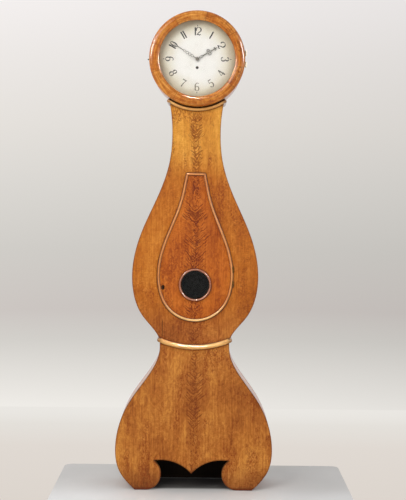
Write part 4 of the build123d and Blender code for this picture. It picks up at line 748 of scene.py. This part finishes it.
def grown(name, start, tree, body, slot, replaced=(), **sizes):
    """Runs a tree on a starting mesh, and keeps the outcome as one plain named piece."""
    seed = bpy.data.objects.new(name + ".start", start)
    bpy.context.scene.collection.objects.link(seed)
    modifier = seed.modifiers.new("rule", "NODES")
    modifier.node_group = tree
    for socket in tree.interface.items_tree:
        label = socket.name.replace(" ", "_").lower()
        if socket.in_out == "INPUT" and label in sizes:
            modifier[socket.identifier] = sizes[label]
    ready = bpy.context.evaluated_depsgraph_get()
    mesh = bpy.data.meshes.new_from_object(seed.evaluated_get(ready), depsgraph=ready)
    bpy.data.objects.remove(seed)
    mesh.shade_smooth()
    mesh.set_sharp_from_angle(angle=math.radians(40))
    piece = bpy.data.objects.new(name, mesh)
    bpy.context.scene.collection.objects.link(piece)
    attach(piece, body)
    if replaced:
        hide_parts(*replaced)


bezel_back, bezel_front = -0.095, -0.119
bezel_edge, bezel_opening = 0.205, 0.162
bezel_crown = 0.18565
rim_depth, lip_depth = 0.007, 0.015  # straight edges outside and inside, from the bezel's back
glass_front, glass_seat = -0.106, 0.167
leaf_spread, leaf_half, leaf_depth = 0.024, 0.0124, 0.0012  # hinge leaves let into its back

# The section's corners: out from the ring's middle, and forward of the bezel's back.
leaf_end = 0.1905
section = [(glass_seat, 0.0), (leaf_end - 0.0005, 0.0), (leaf_end, 0.0), (bezel_edge, 0.0),
           (bezel_edge, rim_depth)]
turns = [math.radians(90 * step / 12) for step in range(1, 13)]
depth = bezel_back - bezel_front
section += [(bezel_crown + (bezel_edge - bezel_crown) * math.cos(turn),
             rim_depth + (depth - rim_depth) * math.sin(turn)) for turn in turns]
section += [(bezel_crown - (bezel_crown - bezel_opening) * math.sin(turn),
             lip_depth + (depth - lip_depth) * math.cos(turn)) for turn in turns]
section += [(bezel_opening, bezel_back - glass_front), (glass_seat, bezel_back - glass_front)]
section_mesh = bpy.data.meshes.new("bezel section")
section_mesh.from_pydata(
    [(across - bezel_edge, -forward, 0.0) for across, forward in section],
    [(k, (k + 1) % len(section)) for k in range(len(section))], [],
)
tree, sizes = rule("turned ring", {"Radius": "Float", "Steps": "Int", "Height": "Float",
                                   "Back": "Float", "Leaf Depth": "Float"})
circle = put(tree, "GeometryNodeCurvePrimitiveCircle", {"Resolution": sizes["Steps"],
                                                        "Radius": sizes["Radius"]})
circle = put(tree, "GeometryNodeSetCurveNormal", {"Curve": circle}, mode="Z_UP")
profile = put(tree, "GeometryNodeMeshToCurve", {0: sizes["Geometry"]})
ring = put(tree, "GeometryNodeCurveToMesh", {"Curve": circle, "Profile Curve": profile})
stood = vector(tree, 0.0, sizes["Back"], sizes["Height"])
ring = put(tree, "GeometryNodeTransform", {"Geometry": ring, "Translation": stood,
                                           "Rotation": (math.radians(90), 0.0, 0.0)})
spot = tree.nodes.new("GeometryNodeInputPosition").outputs[0]
away = vector_maths(tree, "SUBTRACT", spot, stood)
reach = vector_maths(tree, "LENGTH", away)
across, back, rise = parts_of(tree, away)
off_leaf = maths(tree, "SUBTRACT", maths(tree, "ABSOLUTE", rise), leaf_spread)
chosen = maths(tree, "LESS_THAN", maths(tree, "ABSOLUTE", off_leaf), leaf_half)
for value, least in ((across, 0.0), (back, -0.0001), (reach, leaf_end - 0.0002)):
    chosen = times(tree, chosen, maths(tree, "GREATER_THAN", value, least))
sunk = vector(tree, 0.0, times(tree, sizes["Leaf Depth"], -1.0), 0.0)
ring = put(tree, "GeometryNodeSetPosition", {"Geometry": ring, "Selection": chosen, "Offset": sunk})
close_rule(tree, ring, bezel_birch)
grown("bezel_turned_ring", section_mesh, tree, "bezel", "ring_wood", replaced=("bezel_ring",),
      radius=bezel_edge, steps=360, height=dial_height, back=bezel_back, leaf_depth=leaf_depth)

# Its hinges' screws, and the nails and screws of the other pieces, driven by hand: the slots
# stand at every angle. The boards at the back are nailed along their edges.


def board_edge(name, height):
    """Half the width of a board at this height."""
    spots = nodes[name].data.vertices
    reach = 0.0
    for edge in nodes[name].data.edges:
        low, high = sorted((spots[k].co for k in edge.vertices), key=lambda spot: spot.z)
        if low.z <= height <= high.z and high.z > low.z:
            share = (height - low.z) / (high.z - low.z)
            reach = max(reach, low.x + (high.x - low.x) * share)
    return reach


def heads_rule(name, material):
    """A flat head on every point, turned at random on the way it faces, slotted if asked."""
    tree, sizes = rule(name, {"Radius": "Float", "Thickness": "Float", "Cut": "Float",
                              "Seed": "Int"})
    disc = {"Vertices": 20, "Radius": sizes["Radius"], "Depth": sizes["Thickness"]}
    head = put(tree, "GeometryNodeMeshCylinder", disc)
    long = times(tree, sizes["Radius"], 3.0)
    block = vector(tree, long, sizes["Cut"], sizes["Thickness"])
    cutter = put(tree, "GeometryNodeMeshCube", {"Size": block})
    lifted = vector(tree, 0.0, 0.0, times(tree, sizes["Thickness"], 0.6))
    cutter = put(tree, "GeometryNodeTransform", {"Geometry": cutter, "Translation": lifted})
    slotted = put(tree, "GeometryNodeMeshBoolean", {"Mesh 1": head, "Mesh 2": cutter},
                  operation="DIFFERENCE")
    wanted = maths(tree, "GREATER_THAN", sizes["Cut"], 0.0)
    head = put(tree, "GeometryNodeSwitch", {"Switch": wanted, "False": head, "True": slotted},
               input_type="GEOMETRY")
    faces = put(tree, "GeometryNodeInputNamedAttribute", {"Name": "faces"},
                data_type="FLOAT_VECTOR")
    aimed = put(tree, "FunctionNodeAlignRotationToVector", {"Vector": faces}, axis="Z")
    turn = tree.nodes.new("FunctionNodeRandomValue")
    turn.inputs[3].default_value = math.pi
    tree.links.new(sizes["Seed"], turn.inputs["Seed"])
    turned = put(tree, "FunctionNodeAxisAngleToRotation", {"Angle": turn.outputs[1]})
    aimed = put(tree, "FunctionNodeRotateRotation", {"Rotation": aimed, "Rotate By": turned},
                rotation_space="LOCAL")
    sockets = {"Points": sizes["Geometry"], "Instance": head, "Rotation": aimed}
    heads = put(tree, "GeometryNodeInstanceOnPoints", sockets)
    close_rule(tree, heads, material)
    return tree


def places(spots):
    """A mesh of points, each with the way its head faces: 1 to the back, -1 to the front."""
    mesh = bpy.data.meshes.new("points")
    mesh.from_pydata([spot[:3] for spot in spots], [], [])
    way = mesh.attributes.new("faces", "FLOAT_VECTOR", "POINT")
    for item, spot in zip(way.data, spots):
        item.vector = (0.0, spot[3], 0.0)
    return mesh


brass_heads = heads_rule("brass heads", dark_brass)
iron_heads = heads_rule("iron heads", iron)
leaf_screw_reach = 0.1965
hinge_rows, hood_leaf_rows = (
    [dial_height + way * leaf_spread + side * shift for way in (-1, 1) for side in (-1, 1)]
    for shift in (0.0085, 0.0035)
)
leaf_screws = {"radius": 0.002, "thickness": 0.0005, "cut": 0.0005}
bezel_spots = [(leaf_screw_reach, bezel_back - 0.0001, z, 1) for z in hinge_rows]
grown("bezel_hinge_screws", places(bezel_spots), brass_heads, "bezel", "brass", seed=3,
      **leaf_screws)
hood_spots = [(leaf_screw_reach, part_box("hood_ring")[0].y, z, -1) for z in hood_leaf_rows]
grown("hood_hinge_screws", places(hood_spots), brass_heads, "hood", "brass", seed=5,
      **leaf_screws)

lock_low, lock_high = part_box("lock_case")
lock_inset = 0.004
grown("lock_screws", places([
    (x, lock_high.y, z, 1) for x in (lock_low.x + lock_inset, lock_high.x - lock_inset)
    for z in (lock_low.z + lock_inset, lock_high.z - lock_inset)
]), iron_heads, "door", "iron", radius=0.0022, thickness=0.0012, cut=0.0006, seed=8)

keyhole_low, keyhole_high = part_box("lock_escutcheon")
keyhole_x = (keyhole_low.x + keyhole_high.x) / 2
pin_inset = 0.002
grown("escutcheon_pins", places([(keyhole_x, keyhole_low.y, z, -1) for z in
                                 (keyhole_low.z + pin_inset, keyhole_high.z - pin_inset)]),
      brass_heads, "door", "brass", radius=0.0007, thickness=0.0006, cut=0.0, seed=1)

keeper_low, keeper_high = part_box("porthole_retainer")
porthole_height = (keeper_high.z + keeper_low.z) / 2
keeper_nail_reach = 0.0635
grown("retainer_nails", places([
    (keeper_nail_reach * math.cos(turn), keeper_high.y,
     porthole_height + keeper_nail_reach * math.sin(turn), 1)
    for turn in (math.radians(90 * quarter + 38) for quarter in range(4))
]), iron_heads, "door", "iron", radius=0.0013, thickness=0.0008, cut=0.0, seed=2)

nail_inset = 0.008
board_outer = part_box("waist_back")[1].y
nail_places = []
for name, rows in (("plinth_back", range(40, 600, 80)), ("waist_back", range(700, 1680, 98)),
                   ("hood_back", range(1716, 2010, 58))):
    for row in rows:  # millimetres above the floor
        height = row / 1000
        edge = board_edge(name, height) - nail_inset
        nail_places += [(way * edge, board_outer, height, 1) for way in (-1, 1)]
grown("back_board_nails", places(nail_places), iron_heads, "case", "iron",
      radius=0.0026, thickness=0.001, cut=0.0, seed=4)

dress(glass("bezel glass", colour(252, 252, 252)), "bezel_glass")


def old_putty(name):
    """Linseed putty, hard and brown with age."""
    made, tree, surface, place, _ = finish(name)
    lumps = cloud(tree, place, (160.0, 160.0, 160.0), detail=4.0)
    shade = ramp(tree, lumps, (0.3, colour(120, 100, 74)), (0.7, colour(166, 146, 112)))
    colour_surface(tree, surface, shade, lumps, 0.7, 0.9)
    relief(tree, surface, lumps, 0.0006)
    return made


dress(old_putty("putty"), "bezel_putty")
dress(iron, "bezel_pull")
dress(pale_brass, "bezel_hinge_hood_leaves", "bezel_hinge_bezel_leaves")

# ------------------------
# The stand: a grey board with rounded corners on a pale floor, in a plain room. A soft lamp is
# high on the left and a weaker one on the right; three more are seen only in what is polished.

board_left, board_right = -0.60, 0.67
board_front, board_rear = -1.0, 0.335
board_corner = 0.035
corner_steps = 8
board_thickness = 0.018
floor_gap = 0.001
floor_reach = 4.0
floor_rear = 1.7


def grey_paint(name, shade, other):
    """Chalky grey paint, paler and glowing before the clock as painted daylight, darker to the
    right as painted shade, and nearly black with a painted shadow where the clock stands."""
    made, tree, surface, place, (x, y, _) = finish(name)
    soft = cloud(tree, place, (3.0, 3.0, 3.0), detail=4.0)
    shade = mixed(tree, between(tree, soft, 0.3, 0.7), shade, other)
    # Painted light: paler towards the front of the board.
    shade = mixed(tree, between(tree, y, 0.0, -0.24, 0.0, 0.16), shade, colour(244, 249, 255))
    # Painted shadow: nearly black under the clock.
    off_middle = maths(tree, "ABSOLUTE", maths(tree, "SUBTRACT", y, 0.03))
    shadow_under_clock = times(tree, between(tree, maths(tree, "ABSOLUTE", x), 0.27, 0.21),
                  between(tree, off_middle, 0.1, 0.07))
    shade = mixed(tree, times(tree, shadow_under_clock, 0.9), shade, colour(36, 30, 28))
    # Painted shade: darker towards the right.
    dim_right = between(tree, x, 0.1, 0.6, 0.0, 0.2)
    shade = mixed(tree, dim_right, shade, colour(120, 118, 116))
    tree.links.new(shade, surface.inputs["Base Color"])
    tree.links.new(shade, surface.inputs["Emission Color"])
    # Painted daylight: the front of the board glows as if lit.
    daylight = times(tree, between(tree, y, 0.1, -0.25, 0.03, 0.23),
                     between(tree, y, -0.3, -0.6, 1.0, 0.0))
    tree.links.new(daylight, surface.inputs["Emission Strength"])
    surface.inputs["Roughness"].default_value = 0.6
    return made


board = bmesh.new()
outline = []
for (x, y, start) in ((board_right, board_rear, 0), (board_left, board_rear, 90),
                      (board_left, board_front, 180), (board_right, board_front, 270)):
    inward_x = -board_corner if x == board_right else board_corner
    inward_y = -board_corner if y == board_rear else board_corner
    for step in range(corner_steps + 1):
        turn = math.radians(start + step * 90 / corner_steps)
        outline.append(Vector((x + inward_x + board_corner * math.cos(turn),
                               y + inward_y + board_corner * math.sin(turn), 0.0)))
top = board.faces.new([board.verts.new(spot) for spot in outline])
bottom = bmesh.ops.extrude_face_region(board, geom=[top])["geom"]
for spot in bottom:
    if isinstance(spot, bmesh.types.BMVert):
        spot.co.z = -board_thickness
bmesh.ops.recalc_face_normals(board, faces=board.faces)
stand_paint = grey_paint("stand paint", colour(198, 196, 194), colour(190, 188, 186))
new_object("stand_board", board, stand_paint)

ground = bmesh.new()
corners = [(-floor_reach, -floor_reach), (floor_reach, -floor_reach), (floor_reach, floor_rear),
           (-floor_reach, floor_rear)]
ground.faces.new([ground.verts.new((x, y, -board_thickness - floor_gap)) for x, y in corners])
made, tree, surface, _, (_, y, _) = finish("pale floor")
surface.inputs["Base Color"].default_value = colour(222, 217, 211)
surface.inputs["Roughness"].default_value = 0.8
paper = ramp(
    tree, between(tree, y, board_front, floor_rear), (0.0, colour(219, 211, 203)),
    (0.72, colour(224, 217, 210)), (0.93, colour(228, 224, 218)), (1.0, colour(234, 231, 226)),
)
shown = put(tree, "ShaderNodeEmission", {"Color": paper, "Strength": 1.0})
seen = tree.nodes.new("ShaderNodeLightPath").outputs["Is Camera Ray"]
floor_shader = put(tree, "ShaderNodeMixShader", {0: seen, 1: surface.outputs[0], 2: shown})
tree.links.new(floor_shader, tree.nodes["Material Output"].inputs["Surface"])
new_object("floor", ground, made)

world = bpy.data.worlds.new("room")
bpy.context.scene.world = world
world.use_nodes = True
tree = world.node_tree
tree.nodes.clear()
x, y, z = parts_of(tree, tree.nodes.new("ShaderNodeTexCoord").outputs["Generated"])
slope = put(tree, "ShaderNodeMapRange", {0: z, 1: -0.25, 2: 0.25})
backdrop = ramp(
    tree, slope, (0.1, colour(234, 231, 226)), (0.164, colour(220, 217, 212)),
    (0.219, colour(206, 203, 198)), (0.274, colour(199, 193, 189)), (0.386, colour(203, 200, 195)),
    (0.5, colour(213, 210, 205)), (0.614, colour(223, 219, 214)), (0.744, colour(231, 227, 224)),
    (0.854, colour(239, 235, 234)),
)
paths = tree.nodes.new("ShaderNodeLightPath").outputs
seen = maths(tree, "MAXIMUM", paths["Is Camera Ray"], paths["Is Transmission Ray"])
room_light = put(tree, "ShaderNodeBackground", {"Color": (0.98, 0.99, 1.0, 1.0),
                                                "Strength": between(tree, y, -0.7, 0.3, 0.5, 0.85)})
paler_left = put(tree, "ShaderNodeMapRange", {0: x, 1: -0.2, 2: 0.2, 3: 1.06, 4: 0.94})
shown = put(tree, "ShaderNodeBackground", {"Color": backdrop, "Strength": paler_left})
both = put(tree, "ShaderNodeMixShader", {0: seen, 1: room_light, 2: shown})
out = tree.nodes.new("ShaderNodeOutputWorld")
tree.links.new(both, out.inputs["Surface"])


def lamp(name, place, aim, size, power, shade, gleam=False, spread=180.0):
    """A rectangular lamp; a gleam is seen only in what is polished."""
    light = bpy.data.lights.new(name, "AREA")
    light.shape = "RECTANGLE"
    light.size, light.size_y = size
    light.energy = power
    light.color = shade
    light.spread = math.radians(spread)
    made = bpy.data.objects.new(name, light)
    made.location = place
    made.rotation_euler = (Vector(aim) - Vector(place)).to_track_quat("-Z", "Y").to_euler()
    made.visible_diffuse = not gleam
    bpy.context.scene.collection.objects.link(made)


lamp("key", (-1.9, -3.0, 3.3), (0.0, 0.0, 1.1), (1.8, 1.8), 80.0, (1.0, 0.985, 0.96))
lamp("fill", (2.4, -3.2, 1.8), (0.0, 0.0, 1.0), (2.0, 2.4), 19.0, (0.96, 0.98, 1.0))
lamp("left gleam", (-2.1, -1.1, 2.65), (0.0, 0.0, 1.7), (0.4, 1.0), 120.0, (1.0, 0.97, 0.9),
     gleam=True)
lamp("right gleam", (2.1, -1.1, 2.45), (0.0, 0.0, 1.7), (0.4, 0.9), 120.0, (1.0, 0.98, 0.95),
     gleam=True)
lamp("high gleam", (0.1, -2.4, 3.8), (0.0, 0.0, 0.7), (1.2, 0.3), 15.0, (1.0, 0.98, 0.92),
     gleam=True, spread=24.0)

# The camera stands 4.5 m in front of the dial, a little above the middle of the clock.

camera_data = bpy.data.cameras.new("camera")
camera_data.lens = 76.0
camera_data.sensor_width = 36.0
camera_data.shift_y = -0.12
camera_place = 0.030, -4.597, 1.289
camera_tilt = math.radians(0.05)
camera_roll = math.radians(0.55)
camera = bpy.data.objects.new("camera", camera_data)
camera.matrix_world = (
    Matrix.Translation(camera_place)
    @ Matrix.Rotation(-camera_roll, 4, "Y")
    @ Matrix.Rotation(math.radians(90) - camera_tilt, 4, "X")
)
bpy.context.scene.collection.objects.link(camera)
bpy.context.scene.camera = camera
bpy.context.scene.view_settings.view_transform = "Standard"
